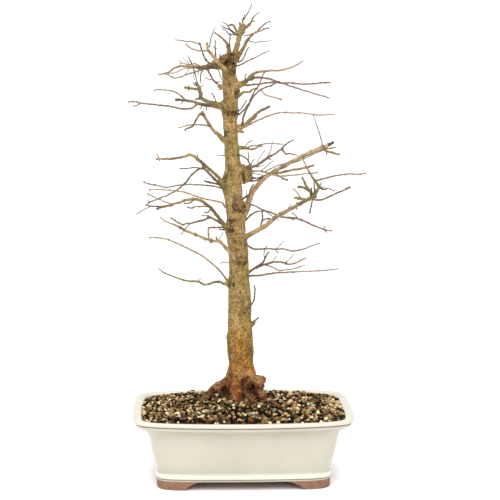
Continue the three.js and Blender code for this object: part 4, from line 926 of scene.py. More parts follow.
def icosphere(detail, radius):
    """The points and faces of a plain ball."""
    made = bmesh.new()
    bmesh.ops.create_icosphere(made, subdivisions=detail, radius=radius)
    points = [vertex.co.copy() for vertex in made.verts]
    faces = [tuple(v.index for v in face.verts) for face in made.faces]
    made.free()
    return points, faces


def ball(skin, centre, width, height, tone, detail=2, rough=0.0, seed=0):
    """A ball that may be taller than it is wide, and uneven."""
    places, faces = icosphere(detail, 0.5)
    points = []
    for place in places:
        swell = 1 + rough * noise.noise(place * 3 + Vector((seed, 0, 0)))
        points.append(centre + Vector((place.x * width, place.y * width, place.z * height)) * swell)
    skin.add(points, faces, tone)


# Materials


NOISE = "ShaderNodeTexNoise"
RAMP = "ShaderNodeValToRGB"
MIX = "ShaderNodeMix"
BUMP = "ShaderNodeBump"
ATTRIBUTE = "ShaderNodeAttribute"
VECTOR_MATH = "ShaderNodeVectorMath"
# A colour mix takes its share at 0 and its colours at 6 and 7, and gives its result at output 2
BLEND = {"data_type": "RGBA", "blend_type": "MIX"}
MULTIPLY = {"data_type": "RGBA", "blend_type": "MULTIPLY"}
CREVICE_TINT = (0.44, 0.36, 0.28, 1)
FLAKE_TINT = (1.58, 1.58, 1.5, 1)


def new_material(name):
    """A material, its nodes, its shader, and the place on the object that its patterns are laid out by."""
    material = bpy.data.materials.new(name)
    material.use_nodes = True
    tree = material.node_tree
    shader = next(n for n in tree.nodes if n.type == "BSDF_PRINCIPLED")
    return material, tree, shader, add(tree, "ShaderNodeTexCoord", output="Object")


def add(tree, kind, settings=None, links=None, output=0):
    """Adds a node with its settings and links, and returns an output of it. A setting is a property or an
    input, or the stops of a colour ramp: places with colours or greys."""
    node = tree.nodes.new(kind)
    for name, value in (settings or {}).items():
        if name == "stops":
            while len(node.color_ramp.elements) < len(value):
                node.color_ramp.elements.new(0.5)
            for element, (place, colour) in zip(node.color_ramp.elements, value):
                element.position = place
                element.color = linear(colour) if isinstance(colour, str) else (colour, colour, colour, 1)
        elif isinstance(name, str) and hasattr(node, name):
            setattr(node, name, value)
        else:
            node.inputs[name].default_value = value
    for name, socket in (links or {}).items():
        tree.links.new(socket, node.inputs[name])
    return node.outputs[output]


def dress(tree, shader, colour, relief, settings):
    """Gives the shader its colour, its relief and its even values."""
    tree.links.new(colour, shader.inputs["Base Color"])
    if relief:
        tree.links.new(relief, shader.inputs["Normal"])
    for name, value in settings.items():
        shader.inputs[name].default_value = value


def glazed_stoneware():
    """Cream feldspar glaze, fired over brown stoneware, thick and smooth. Its tone carries painted shade
    along two creases and in the cove under the rim, and painted light on the plinth band and the lip.
    """
    material, tree, shader, place = new_material("cream glazed stoneware")
    clouds = add(tree, NOISE, {"Scale": 1 / (60 * MM)}, {"Vector": place})
    cream = add(tree, RAMP, {"stops": [(0.35, "#AEA99A"), (0.65, "#B4AFA0")]}, {"Fac": clouds})
    specks = add(tree, NOISE, {"Scale": 1 / (1.6 * MM), "Detail": 1}, {"Vector": place})
    specked = add(tree, RAMP, {"stops": [(0.7, "#FFFFFF"), (0.78, "#E6DCC4")]}, {"Fac": specks})
    cream = add(tree, MIX, {**MULTIPLY, 0: 0.5}, {6: cream, 7: specked}, 2)
    unshaded = add(tree, ATTRIBUTE, {"attribute_name": "tone"}, output="Fac")
    # Painted light: a lighter cream on the plinth band and over the lip
    painted_light = add(tree, MIX, {**BLEND, 7: linear("#D6D2C2")}, {0: unshaded.node.outputs["Alpha"], 6: cream}, 2)
    # Painted shade: toward the clay's brown where the tone is below one, along the creases and in the cove
    colour = add(tree, MIX, {**BLEND, 6: linear("#6E5E48")}, {0: unshaded, 7: painted_light}, 2)
    ripple = add(tree, NOISE, {"Scale": 1 / (9 * MM)}, {"Vector": place})
    relief = add(tree, BUMP, {"Distance": 0.2 * MM, "Strength": 0.4}, {"Height": ripple})
    dress(tree, shader, colour, relief, {"Roughness": 0.22, "IOR": 1.5})
    return material


def bare_stoneware():
    """Unglazed reddish brown stoneware of the feet and the underside, rough as sanded clay."""
    material, tree, shader, place = new_material("bare brown stoneware")
    clouds = add(tree, NOISE, {"Scale": 1 / (7 * MM), "Detail": 3}, {"Vector": place})
    clay = add(tree, RAMP, {"stops": [(0.3, "#785746"), (0.7, "#946C56")]}, {"Fac": clouds})
    grog = add(tree, NOISE, {"Scale": 1 / (1.2 * MM), "Detail": 1}, {"Vector": place})
    specked = add(tree, RAMP, {"stops": [(0.38, "#6E4C3C"), (0.5, "#FFFFFF")]}, {"Fac": grog})
    colour = add(tree, MIX, {**MULTIPLY, 0: 0.5}, {6: clay, 7: specked}, 2)
    relief = add(tree, BUMP, {"Distance": 0.2 * MM}, {"Height": grog})
    dress(tree, shader, colour, relief, {"Roughness": 0.88})
    return material


def speckled(tree, place, tone, size_mm, soft, hard, crust):
    """The tone broken up into darker crevices and lighter flakes. Crusty bark has the harder contrast."""
    spots = add(tree, NOISE, {"Scale": 1 / (size_mm * MM), "Detail": 4, "Roughness": 0.7}, {"Vector": place})
    even = add(tree, RAMP, {"stops": [(0.5 - soft, 0.1), (0.5 + soft, 0.9)]}, {"Fac": spots})
    broken = add(tree, RAMP, {"stops": [(0.5 - hard, 0.0), (0.5 + hard, 1.0)]}, {"Fac": spots})
    share = add(tree, MIX, BLEND, {0: crust, 6: even, 7: broken}, 2)
    low = add(tree, MIX, {**MULTIPLY, 0: 1, 7: CREVICE_TINT}, {6: tone}, 2)
    high = add(tree, MIX, {**MULTIPLY, 0: 1, 7: FLAKE_TINT}, {6: tone}, 2)
    return add(tree, MIX, BLEND, {0: share, 6: low, 7: high}, 2), share


def trunk_bark():
    """Old maple bark: olive and tan, with small flakes and specks, orange-brown and crusty near the soil."""
    material, tree, shader, place = new_material("old maple bark")
    tone = add(tree, ATTRIBUTE, {"attribute_name": "tone"})
    tall = add(tree, VECTOR_MATH, {"operation": "MULTIPLY", 1: (1, 1, 0.5)}, {0: place})
    broad = add(tree, NOISE, {"Scale": 1 / (9 * MM), "Detail": 5, "Roughness": 0.7}, {"Vector": tall})
    stops = [(0.34, "#90845F"), (0.46, "#D2CAAE"), (0.55, "#F6ECD8"), (0.65, "#FFF6E6")]
    patches = add(tree, RAMP, {"stops": stops}, {"Fac": broad})
    colour = add(tree, MIX, {**MULTIPLY, 0: 0.75}, {6: tone, 7: patches}, 2)
    colour, flakes = speckled(tree, place, colour, 2.1, 0.22, 0.1, tone.node.outputs["Alpha"])
    fissured = add(tree, VECTOR_MATH, {"operation": "MULTIPLY", 1: (1, 1, 0.4)}, {0: place})
    fissures = add(tree, NOISE, {"Scale": 1 / (1.5 * MM), "Detail": 3}, {"Vector": fissured})
    cracked = add(tree, RAMP, {"stops": [(0.33, "#4A3A20"), (0.43, "#FFFFFF")]}, {"Fac": fissures})
    colour = add(tree, MIX, {**MULTIPLY, 0: 0.6}, {6: colour, 7: cracked}, 2)
    rough = add(tree, MIX, {**MULTIPLY, 0: 0.5}, {6: flakes, 7: cracked}, 2)
    relief = add(tree, BUMP, {"Distance": 0.7 * MM, "Strength": 0.8}, {"Height": rough})
    dress(tree, shader, colour, relief, {"Roughness": 0.8, "Specular IOR Level": 0.3})
    return material


def twig_bark():
    """Young maple bark: thin, with a faint sheen, mottled by algae and scars."""
    material, tree, shader, place = new_material("young maple bark")
    tone = add(tree, ATTRIBUTE, {"attribute_name": "tone"})
    colour, flakes = speckled(tree, place, tone, 2.2, 0.24, 0.13, tone.node.outputs["Alpha"])
    relief = add(tree, BUMP, {"Distance": 0.3 * MM, "Strength": 0.6}, {"Height": flakes})
    dress(tree, shader, colour, relief, {"Roughness": 0.6})
    return material


def grit(name, roughness, specular, stops=None):
    """Sieved mineral grains with a dusty crushed surface. Each grain has its own tone, or, where stops are
    given, takes one of them by where it lies."""
    material, tree, shader, place = new_material(name)
    if stops:
        patches = add(tree, NOISE, {"Scale": 1 / (16 * MM), "Detail": 0}, {"Vector": place})
        tone = add(tree, RAMP, {"stops": stops}, {"Fac": patches})
    else:
        tone = add(tree, ATTRIBUTE, {"attribute_name": "tone"})
    holes = add(tree, NOISE, {"Scale": 1 / (1.0 * MM)}, {"Vector": place})
    pores = add(tree, RAMP, {"stops": [(0.3, "#8C8072"), (0.55, "#FFFFFF")]}, {"Fac": holes})
    colour = add(tree, MIX, {**MULTIPLY, 0: 0.7}, {6: tone, 7: pores}, 2)
    relief = add(tree, BUMP, {"Distance": 0.25 * MM}, {"Height": holes})
    dress(tree, shader, colour, relief, {"Roughness": roughness, "Specular IOR Level": specular})
    return material


def plain_finish(name, size_mm, dark, light, metallic, roughness):
    """A finish with faint clouding of two tones: damp soil, wire with scuffs, or mesh with a waxy bloom."""
    material, tree, shader, place = new_material(name)
    clouds = add(tree, NOISE, {"Scale": 1 / (size_mm * MM), "Detail": 3}, {"Vector": place})
    colour = add(tree, RAMP, {"stops": [(0.3, dark), (0.7, light)]}, {"Fac": clouds})
    relief = add(tree, BUMP, {"Distance": 0.05 * size_mm * MM}, {"Height": clouds})
    dress(tree, shader, colour, relief, {"Metallic": metallic, "Roughness": roughness})
    return material


def painted_floor():
    """A plain matt floor, pale grey, and white where the pot stands."""
    material, tree, shader, place = new_material("pale matt floor")
    away = add(tree, VECTOR_MATH, {"operation": "LENGTH"}, {0: place}, "Value")
    stops = [(PAPER_RADIUS * MM, "#FCFCFC"), (2 * PAPER_RADIUS * MM, "#CECECE")]
    colour = add(tree, RAMP, {"stops": stops}, {"Fac": away})
    dress(tree, shader, colour, None, {"Roughness": 1.0, "Specular IOR Level": 0.0})
    return material


# The pot


def plan_point(angle, inset, offset=0.0):
    """A point on the pot's outline, an inset in from the rim's and then an even offset further in."""
    half_width = RIM_WIDTH / 2 - inset - offset
    bow = np.interp(inset, (0, BASE_INSET), (RIM_BOW, BASE_BOW))
    half_depth = (RIM_DEPTH / 2 - DEPTH_TAPER * inset - offset) / (1 + bow)
    width = half_width / (1 + SIDE_BOW)
    x = math.cos(angle)
    y = math.sin(angle)
    power = CORNER_SQUARENESS
    reach = (abs(x / width) ** power + abs(y / half_depth) ** power) ** (-1 / power)
    sideways = reach * x * (1 + SIDE_BOW * (1 - (reach * y / half_depth) ** 2))
    deep = reach * y * (1 + bow * (1 - (reach * x / width) ** 2))
    return sideways, deep


def plan_angles():
    """Angles round the plan, closer together near its four corners."""
    corner = math.atan2(RIM_DEPTH, RIM_WIDTH)
    corners = (-corner, corner, math.pi - corner, math.pi + corner, 2 * math.pi - corner)
    quarter = PLAN_STEPS // 4
    angles = []
    for start, end in zip(corners, corners[1:]):
        for k in range(quarter):
            share = k / quarter
            eased = share - math.sin(2 * math.pi * share) / (2 * math.pi) * CORNER_BUNCHING
            angles.append(start + (end - start) * eased)
    return angles


def plan_ring(inset, height, offset=0.0):
    return [Vector((*plan_point(angle, inset, offset), height)) for angle in plan_angles()]


def cutter(name, points, faces):
    shape = Skin()
    shape.add(points, faces, None)
    return shape.object(name, None)


def carve(piece, tools):
    """Cuts the tools out of the piece's mesh, and removes them."""
    for tool in tools:
        step = piece.modifiers.new("cut", "BOOLEAN")
        step.operation = "DIFFERENCE"
        step.object = tool
        step.solver = "EXACT"
    apply_modifiers(piece)
    for tool in tools:
        bpy.data.objects.remove(tool)


def apply_modifiers(piece):
    graph = bpy.context.evaluated_depsgraph_get()
    evaluated = piece.evaluated_get(graph)
    made = bpy.data.meshes.new_from_object(evaluated, preserve_all_data_layers=True, depsgraph=graph)
    piece.modifiers.clear()
    old = piece.data
    piece.data = made
    bpy.data.meshes.remove(old)


def hole(name, radius, x, y):
    """A cutter for a round hole through the pot's floor."""
    angles = np.linspace(0, 2 * math.pi, HOLE_SIDES + 1)[:-1]
    rings = []
    for z in (0, FLOOR_TOP + CUTTER_RISE):
        rings.append([Vector((x + radius * math.cos(a), y + radius * math.sin(a), z)) for a in angles])
    return cutter(name, *lofted(rings))


def scoop(name, sizes, along_y):
    """A curved scoop below the pot, through two sides of the foot ring."""
    low, high = sizes[0] / 2, sizes[1] / 2
    outline = [(-low - 2 * CUT_MARGIN, -CUT_MARGIN), (low + 2 * CUT_MARGIN, -CUT_MARGIN)]
    for t in np.linspace(0, 1, SCOOP_STEPS):
        x = low + (high - low) * t
        z = (FOOT_HEIGHT + SCOOP_OVERCUT) * (t + SCOOP_BULGE * math.sin(math.pi * t))
        outline.append((x, z))
    outline.extend((-x, z) for x, z in outline[:1:-1])
    rings = []
    for y in (RIM_WIDTH, -RIM_WIDTH):
        rings.append([Vector((x, y, z)) if along_y else Vector((-y, x, z)) for x, z in outline])
    return cutter(name, *lofted(rings))


def glaze_tone(point):
    """How unshaded a point of the pot is, three times over, for painted shade along two creases and in the
    cove under the rim, and how much painted light lies on it there.
    """
    near = min(abs(point[2] - crease) for crease in CREASES)
    middle = abs(point[0]) < FLOOR_HALF_WIDTH and abs(point[1]) < FLOOR_HALF_DEPTH
    inside = point[2] < NEAR_FLOOR and middle
    # Painted shade along the two creases, and a little in the cove under the rim
    unshaded = 1.0 if inside else min(1.0, CREASE_PAINTED_SHADE + near / CREASE_REACH)
    unshaded = min(unshaded, float(np.interp(point[2], COVE_HEIGHTS, COVE_PAINTED_SHADE)))
    low, high = PLINTH_BAND
    # Painted light on the plinth band and over the lip
    painted_light = max(PLINTH_PAINTED_LIGHT * (low < point[2] < high), LIP_PAINTED_LIGHT * (point[2] > LIP_BAND))
    return unshaded, unshaded, unshaded, painted_light


def make_pot(glaze, clay):
    curve = smooth_route([Vector((inset, height, 0)) for inset, height in COVE], COVE_STEP)[0]
    profile = [(FOOT_INSET + FAN_INSET, FOOT_HEIGHT), *FOOT_TO_PLINTH, *((p.x, p.y) for p in curve), *LIP]
    profile += [*INSIDE, (INSIDE[-1][0] + FAN_INSET, FLOOR_TOP)]
    points, faces = lofted([plan_ring(inset, height) for inset, height in profile])
    shell = Skin()
    shell.add(points, faces, [glaze_tone(point) for point in points])
    pot = shell.object("glazed_pot", glaze)
    pot.data.materials.append(clay)
    holes = [hole(f"drain{x}", DRAIN_HOLE_RADIUS, x, 0) for x in (-DRAIN_HOLE_X, DRAIN_HOLE_X)]
    for row in TIE_ROWS:
        for x in (-TIE_HOLE_X, TIE_HOLE_X):
            holes.append(hole(f"tie{x}{row}", TIE_HOLE_RADIUS, x, row))
    carve(pot, holes)
    foot_rings = [
        plan_ring(FOOT_INSET, 0, FOOT_ROUNDING),
        plan_ring(FOOT_INSET, FOOT_ROUNDING),
        plan_ring(FOOT_INSET, FOOT_HEIGHT + FOOT_OVERLAP),
    ]
    feet = cutter("feet", *lofted(foot_rings))
    middle_rings = [plan_ring(FOOT_INSET, z, FOOT_WALL) for z in (-CUT_MARGIN, FOOT_HEIGHT + CUT_MARGIN)]
    middle = cutter("middle", *lofted(middle_rings))
    carve(feet, [middle, scoop("front", FRONT_SCOOP, True), scoop("side", SIDE_SCOOP, False)])
    join_mesh(pot, feet, material_index=1)
    for face in pot.data.polygons:
        height = face.center.z / MM
        level = face.normal.z > 0.9
        if height < BARE_CLAY_TOP or (level and height < NEAR_FLOOR):
            face.material_index = 1
    pot.data.polygons.foreach_set("use_smooth", [True] * len(pot.data.polygons))
    pot.data.set_sharp_from_angle(angle=SHARP_EDGE)
    return pot


def join_mesh(piece, other, material_index):
    """Adds the other object's mesh to the piece's, with one material, and removes the other object."""
    for face in other.data.polygons:
        face.material_index = material_index
    both = bmesh.new()
    both.from_mesh(piece.data)
    both.from_mesh(other.data)
    both.to_mesh(piece.data)
    both.free()
    bpy.data.objects.remove(other)


# The tree


def craggy(point, scale, octaves=3):
    """Ridged noise from 0 to about 1."""
    total, size, share = 0.0, scale, 0.6
    for _ in range(octaves):
        total += share * (1 - abs(noise.noise(point / size) * 2))
        size *= 0.5
        share *= 0.5
    return total


def trunk_rings():
    rings = []
    for row in np.arange(TRUNK[-1][0], TRUNK[0][0] - 0.1, -TRUNK_ROW_STEP):
        left, right = trunk_edges(row)
        depth = trunk_depth(row)
        a = drawn(left, row, depth)
        b = drawn(right, row, depth)
        centre = (a + b) / 2
        radius = (b - a).length / 2
        ring = []
        for k in range(TRUNK_SIDES):
            angle = 2 * math.pi * k / TRUNK_SIDES
            spoke = Vector((math.cos(angle), TRUNK_ROUNDNESS * math.sin(angle), 0))
            lobes = 1 + TRUNK_LOBES * noise.noise(Vector((spoke.x * 1.4, spoke.y * 1.4, row * 0.03)))
            ring.append(centre + spoke * radius * lobes)
        rings.append(ring)
    return rings


class Wood:
    """The tree's centre lines, so that each twig can spring from the nearest wood."""

    def __init__(self):
        self.places = []
        self.depths = []

    def note(self, route, depths):
        self.places.extend(route)
        self.depths.extend(depths)

    def depth_at(self, column, row):
        gaps = np.hypot(np.array(self.places)[:, 0] - column, np.array(self.places)[:, 1] - row)
        return float(self.depths[int(np.argmin(gaps))])


def limb_points(wood, depths, route):
    """A limb's route in millimetres, and its depth at each of its places."""
    if not isinstance(depths, tuple):
        start = wood.depth_at(*route[0])
        depths = (start, start + depths)
    steps = [0.0] + [math.dist(a, b) for a, b in zip(route, route[1:])]
    shares = np.cumsum(steps) / sum(steps)
    each = [float(np.interp(s, (0, 1), depths)) for s in shares]
    return [drawn(c, r, d) for (c, r), d in zip(route, each)], each


def dense_places(route, depths):
    """Places every half square along a route, with their depths."""
    places, spread = [], []
    for (a, b), (da, db) in zip(zip(route, route[1:]), zip(depths, depths[1:])):
        count = max(1, int(math.dist(a, b) * 2))
        for k in range(count + 1):
            t = k / count
            places.append((a[0] + (b[0] - a[0]) * t, a[1] + (b[1] - a[1]) * t))
            spread.append(da + (db - da) * t)
    return places, spread


def limb_tones(tone, shares, length, shift, shade):
    """A limb's tone at each ring: the named ones in turn along it, with olive and dark patches."""
    names = tone if isinstance(tone, tuple) else (tone, tone)
    stops = np.array([linear(BARK_TONES[name]) for name in names]) * shade
    crust = SMOOTH_CRUST if names[-1] in ("pale", "tan") else ROUGH_CRUST
    tones = []
    for share in shares:
        colour = np.array([along(stops[:, c], share) for c in range(4)])
        patch = noise.noise(Vector((share * length / LIMB_PATCH_LENGTH, 3, 0)) + shift)
        tones.append((*patched(colour, LIMB_PATCHES, patch)[:3], crust))
    return tones


def grow_limb(skin, chance, tone, points, widths):
    """One limb: bowed as it was drawn, swollen at its nodes, with buds near a thin tip."""
    step, node_gap, sides, rough = THICK_BUILD if widths[0] > THICK_LIMB else THIN_BUILD
    centres, shares = smooth_route(points, step)
    length = sum((b - a).length for a, b in zip(centres, centres[1:]))
    offset = chance.random()
    shift = Vector((chance.random() * NOISE_RANGE, 0, 0))
    sized = []
    for share in shares:
        width = along(widths, share)
        phase = (share * length / node_gap + offset) % 1
        ring = math.exp(-(((phase - 0.5) * node_gap / NODE_LENGTH) ** 2))
        uneven = noise.noise(Vector((share * length / UNEVEN_LENGTH, 0, 0)) + shift)
        sized.append(width * (1 + NODE_SWELLING * ring + UNEVENNESS * uneven))
    wobble = min(BEND_SHARE * widths[0], BEND_MOST)
    for i, share in enumerate(shares):
        away = Vector((0, 1, 2)) * (share * length / BEND_LENGTH)
        bend = noise.noise_vector(away + shift) * wobble * min(1, share * BEND_START)
        centres[i] = centres[i] + bend
    least, spread = LIMB_SHADES
    tones = limb_tones(tone, shares, length, shift, least + spread * chance.random())
    cut = linear(DARK_CUT_TONE if chance.random() < DARK_CUT_SHARE else PALE_CUT_TONE)
    tube(skin, centres, sized, sides, tones, cut if widths[-1] >= BLUNT_WIDTH else None, rough)
    if widths[-1] < BUDDING_WIDTH and length > BUDDING_LENGTH:
        add_buds(skin, chance, centres, sized)


def add_buds(skin, chance, centres, sized):
    """A bud at the tip, and pairs of them at some of the nodes, each pair turned from the last."""
    tone = linear(BUD_TONE)
    forward = (centres[-1] - centres[-2]).normalized()
    size = max(BUD_LEAST, sized[-1] * BUD_SWELLING)
    ball(skin, centres[-1] + forward * size * 0.3, size, size * TIP_BUD_HEIGHT, tone, 1)
    width, height = SIDE_BUD
    out = forward.orthogonal().normalized()
    for i in range(len(centres) - 6, int(len(centres) * 0.3), -BUD_GAP):
        if chance.random() < BUD_CHANCE:
            for way in (-1, 1):
                ball(skin, centres[i] + out * way * sized[i] * 0.5, size * width, size * height, tone, 1)
            out = forward.cross(out).normalized()


def bark_tone(height, wide, fine):
    """The trunk's own colour at a height in millimetres, before the marks, and its crustiness."""
    heights = [stop[0] for stop in BARK_STOPS]
    shades = np.array([linear(stop[1]) for stop in BARK_STOPS])
    at = height + BARK_WANDER[0] * wide + BARK_WANDER[1] * fine
    base = np.array([np.interp(at, heights, shades[:, c]) for c in range(4)])
    base = patched(patched(base, WIDE_PATCHES, wide), FINE_PATCHES, fine)
    base[3] = np.interp(at, heights, [stop[2] for stop in BARK_STOPS])
    return base


def scales(chance, column, row, width, height, count):
    """Small marks scattered over a healed wound, more of them sunken and dark than raised."""
    marks = []
    for _ in range(count):
        angle = chance.uniform(0, 2 * math.pi)
        reach = math.sqrt(chance.random()) / 2
        place = (column + width * reach * math.cos(angle), row + height * reach * math.sin(angle))
        size = chance.uniform(*SCALE_SIZE)
        kind, sink = chance.choice(SCALE_KINDS)
        tall = size * chance.uniform(*SCALE_STRETCH)
        marks.append((*place, size, tall, sink, chance.uniform(*SCALE_DARKNESS), kind))
    return marks


def press_mark(places, lift, tones, column, row, width, height, sink, darkness, tone):
    """Sinks one torn-edged mark into the trunk's bark and colours it."""
    left, right = trunk_edges(row)
    reach = min(1.0, abs(column - (left + right) / 2) / ((right - left) / 2))
    radius = (right - left) / 2 * DRAWING_SQUARE
    centre = drawn(column, row, trunk_depth(row) - radius * math.sqrt(1 - reach**2))
    spread = (width * MARK_SPREAD, max(width, height, MARK_LEAST) * MARK_DEPTH, height * MARK_SPREAD)
    away = (places - np.array(centre)) / np.array(spread)
    gaps = np.sqrt(np.sum(away**2, 1))
    close = np.flatnonzero(gaps < MARK_REACH)
    gaps = gaps[close]
    torn = np.array([noise.noise(Vector(places[i]) / TEAR_SIZE) for i in close])
    cover = np.clip(MARK_CORE - MARK_FALL * gaps + MARK_TEAR * torn, 0, 1) * np.clip(MARK_REACH - gaps, 0, 1)
    crumbled = 1 + CRUMBLE * np.array([noise.noise(Vector(places[i]) / CRUMB_SIZE) for i in close])
    lift[close] -= sink * cover * crumbled
    strength = (cover * darkness)[:, None]
    shade = np.array(linear(MARK_TONES[tone])) * (1 + 0.5 * torn[:, None])
    tones[close, :3] += (shade[:, :3] - tones[close, :3]) * strength
    tones[close, 3] += (1 - tones[close, 3]) * strength[:, 0] * MARK_CRUST


def trunk_solid():
    """The trunk, its roots, burls and limb collars, fused into one smooth skin."""
    solid = Skin()
    solid.add(*lofted(trunk_rings()), None)
    for depths, widths, route in ROOTS:
        shares = np.linspace(0, 1, len(route))
        points = [drawn(c, r, np.interp(s, (0, 1), depths)) for (c, r), s in zip(route, shares)]
        centres, spread = smooth_route(points, ROOT_STEP)
        tube(solid, centres, [along(widths, s) for s in spread], ROOT_SIDES, [None] * len(centres))
    for i, (place, depth, width, height) in enumerate(BURLS):
        ball(solid, drawn(*place, depth), width, height, None, 3, BURL_ROUGHNESS, i)
    for tone, depths, widths, route in LIMBS:
        if isinstance(depths, tuple) and widths[0] >= COLLAR_LEAST_WIDTH:
            if abs(depths[0] - trunk_depth(route[0][1])) < COLLAR_NEAR_TRUNK:
                collar(solid, depths, widths, route)
    fused = solid.object("trunk", None)
    fuse = fused.modifiers.new("fuse", "REMESH")
    fuse.mode = "VOXEL"
    fuse.voxel_size = VOXEL_SIZE * MM
    soften = fused.modifiers.new("soften", "SMOOTH")
    soften.factor = SOFTENING
    soften.iterations = SOFTENING_PASSES
    apply_modifiers(fused)
    return fused


def collar(solid, depths, widths, route):
    """The swollen foot of a limb, where it leaves the trunk."""
    points, _ = limb_points(None, depths, route)
    centres, _ = smooth_route(points, COLLAR_STEP)
    reach = max(5, int((widths[0] * 1.3 + COLLAR_LENGTH) / COLLAR_STEP))
    centres = centres[: min(reach, len(centres))]
    if len(centres) < 3:
        return
    foot, taper = COLLAR_SWELLING
    sized = [widths[0] * (foot - taper * i / (len(centres) - 1)) for i in range(len(centres))]
    tube(solid, centres, sized, COLLAR_SIDES, [None] * len(centres))


def bark_at(place, normal):
    """How far the bark is lifted at a place on the trunk, in millimetres, and its tone."""
    point = Vector(place)
    wide = noise.noise(Vector([c / size for c, size in zip(point, WIDE_WAVE)]))
    fine = noise.noise(Vector([c / size for c, size in zip(point, FINE_WAVE)]) + Vector((7, 3, 1)))
    crust = craggy(point, CRUST_SIZE)
    flake = craggy(point + Vector((3, 5, 7)), FLAKE_SIZE, 2)
    low = float(np.interp(point.z, BASE_HEIGHTS, (1, 0)))
    lift = WIDE_LIFT * wide + FINE_LIFT * fine
    lift += (crust - 0.5) * (CRUST_LIFT[0] + CRUST_LIFT[1] * low)
    lift += (flake - 0.4) * (FLAKE_LIFT[0] + FLAKE_LIFT[1] * low)
    shade = bark_tone(point.z, wide, fine)
    crevice = float(np.interp(min(crust, flake + 0.1), CREVICE_RANGE, (1, 0)))
    crevice *= CREVICE_SHARE[0] + CREVICE_SHARE[1] * low
    ember = float(np.interp(fine, EMBER_RANGE, (0, EMBER_MOST))) * low
    facing = np.interp(normal[2], SLOPES, (0, 1))
    outer = float(np.interp(abs(point.x + BASE_MIDDLE), BASE_OUTER, (0, 1)) * facing)
    above = 1.0 if point.x < 0 else float(np.interp(point.z, BURL_HEIGHTS, (0, 1)))
    tone = shade[:3] + (EMBER_TONE - shade[:3]) * ember
    tone += (ROOT_TONE - tone) * (ROOT_SHARE * low * outer * above)
    # Painted light and shade: bark facing right painted lighter, bark facing left darker
    tone *= 1 + PAINTED_SIDE_LIGHT * normal[0]
    tone += (CREVICE_TONE - tone) * crevice
    return lift, (*tone, shade[3])


def make_trunk(material):
    """The trunk with the relief and the tones of its bark."""
    trunk = trunk_solid()
    mesh = trunk.data
    places = np.empty(len(mesh.vertices) * 3)
    normals = np.empty(len(mesh.vertices) * 3)
    mesh.vertices.foreach_get("co", places)
    mesh.vertices.foreach_get("normal", normals)
    places = places.reshape(-1, 3) / MM
    normals = normals.reshape(-1, 3)
    bark = [bark_at(place, normal) for place, normal in zip(places, normals)]
    lift = np.array([lifted for lifted, _ in bark])
    tones = np.array([tone for _, tone in bark])
    chance = random.Random(SCALE_SEED)
    for mark in MARKS + [scale for wound in WOUNDS for scale in scales(chance, *wound)]:
        press_mark(places, lift, tones, *mark)
    places += normals * lift[:, None]
    mesh.vertices.foreach_set("co", (places * MM).ravel())
    paint(mesh, tones)
    mesh.polygons.foreach_set("use_smooth", [True] * len(mesh.polygons))
    mesh.materials.clear()
    mesh.materials.append(material)
    mesh.update()
    return trunk


def make_limbs(material):
    """Every limb and twig outside the trunk."""
    wood = Wood()
    for row in WOOD_ROWS:
        left, right = trunk_edges(row)
        for share in WOOD_SHARES:
            wood.note([(left + (right - left) * share, row)], [trunk_depth(row)])
    skin = Skin()
    chance = random.Random(LIMB_SEED)
    # The bends come from noise_vector, which gives another result each run unless it has a seed
    noise.seed_set(LIMB_SEED)
    for tone, depths, widths, route in LIMBS:
        points, each = limb_points(wood, depths, route)
        wood.note(*dense_places(route, each))
        grow_limb(skin, chance, tone, points, widths)
    for i, (place, width) in enumerate(KNOTS):
        centre = drawn(*place, wood.depth_at(*place))
        ball(skin, centre, width, width, linear(KNOT_TONE), 2, KNOT_ROUGHNESS, i)
    return skin.object("limbs", material)


# The soil


def soil_height(x, y):
    """The height of the soil's top, which falls to the sides and most to the two corners at the back."""
    edge = plan_point(math.atan2(y, x), SOIL_INSET)
    reach = min(math.hypot(x, y) / math.hypot(*edge), 1)
    fall = 1 - SOIL_SIDE_FALL * (x / (RIM_WIDTH / 2)) ** 2
    sunk = SOIL_BACK_SINK * reach**3 * max(0, y / (RIM_DEPTH / 2)) * abs(x / (RIM_WIDTH / 2))
    return SOIL_EDGE + SOIL_RISE * (1 - reach**4) * fall - sunk


def make_soil_bed(material):
    """The block of soil that the grains lie on, its top a little sunk."""
    rings = [plan_ring(inset, height, offset) for inset, height, offset in BED_RINGS]
    rim = plan_ring(SOIL_INSET, SOIL_EDGE, SOIL_GAP)
    for share in np.linspace(1, SOIL_MIDDLE, SOIL_RINGS):
        ring = []
        for p in rim:
            x, y = p.x * share, p.y * share
            rough = noise.noise(Vector((x, y, 0)) / BED_LUMP_SIZE)
            ring.append(Vector((x, y, soil_height(x, y) - BED_SINK + BED_LUMPS * rough)))
        rings.append(ring)
    skin = Skin()
    skin.add(*lofted(rings), None)
    return skin.object("soil_bed", material)


def grain_shapes(chance):
    """A dozen crushed grains of unit radius."""
    shapes = []
    for _ in range(GRAIN_SHAPES):
        places, faces = icosphere(2, 1)
        shift = Vector((chance.random() * 50, chance.random() * 50, 0))
        stretch = Vector((1, 0.7 + 0.3 * chance.random(), 0.62 + 0.25 * chance.random()))
        points = []
        for place in places:
            swell = 1 + FACETS[0] * noise.noise(place * FACETS[1] + shift)
            swell += CHIPS[0] * noise.noise(place * CHIPS[1] + shift)
            points.append(tuple(Vector([c * s for c, s in zip(place * swell, stretch)])))
        shapes.append((np.array(points), faces))
    return shapes


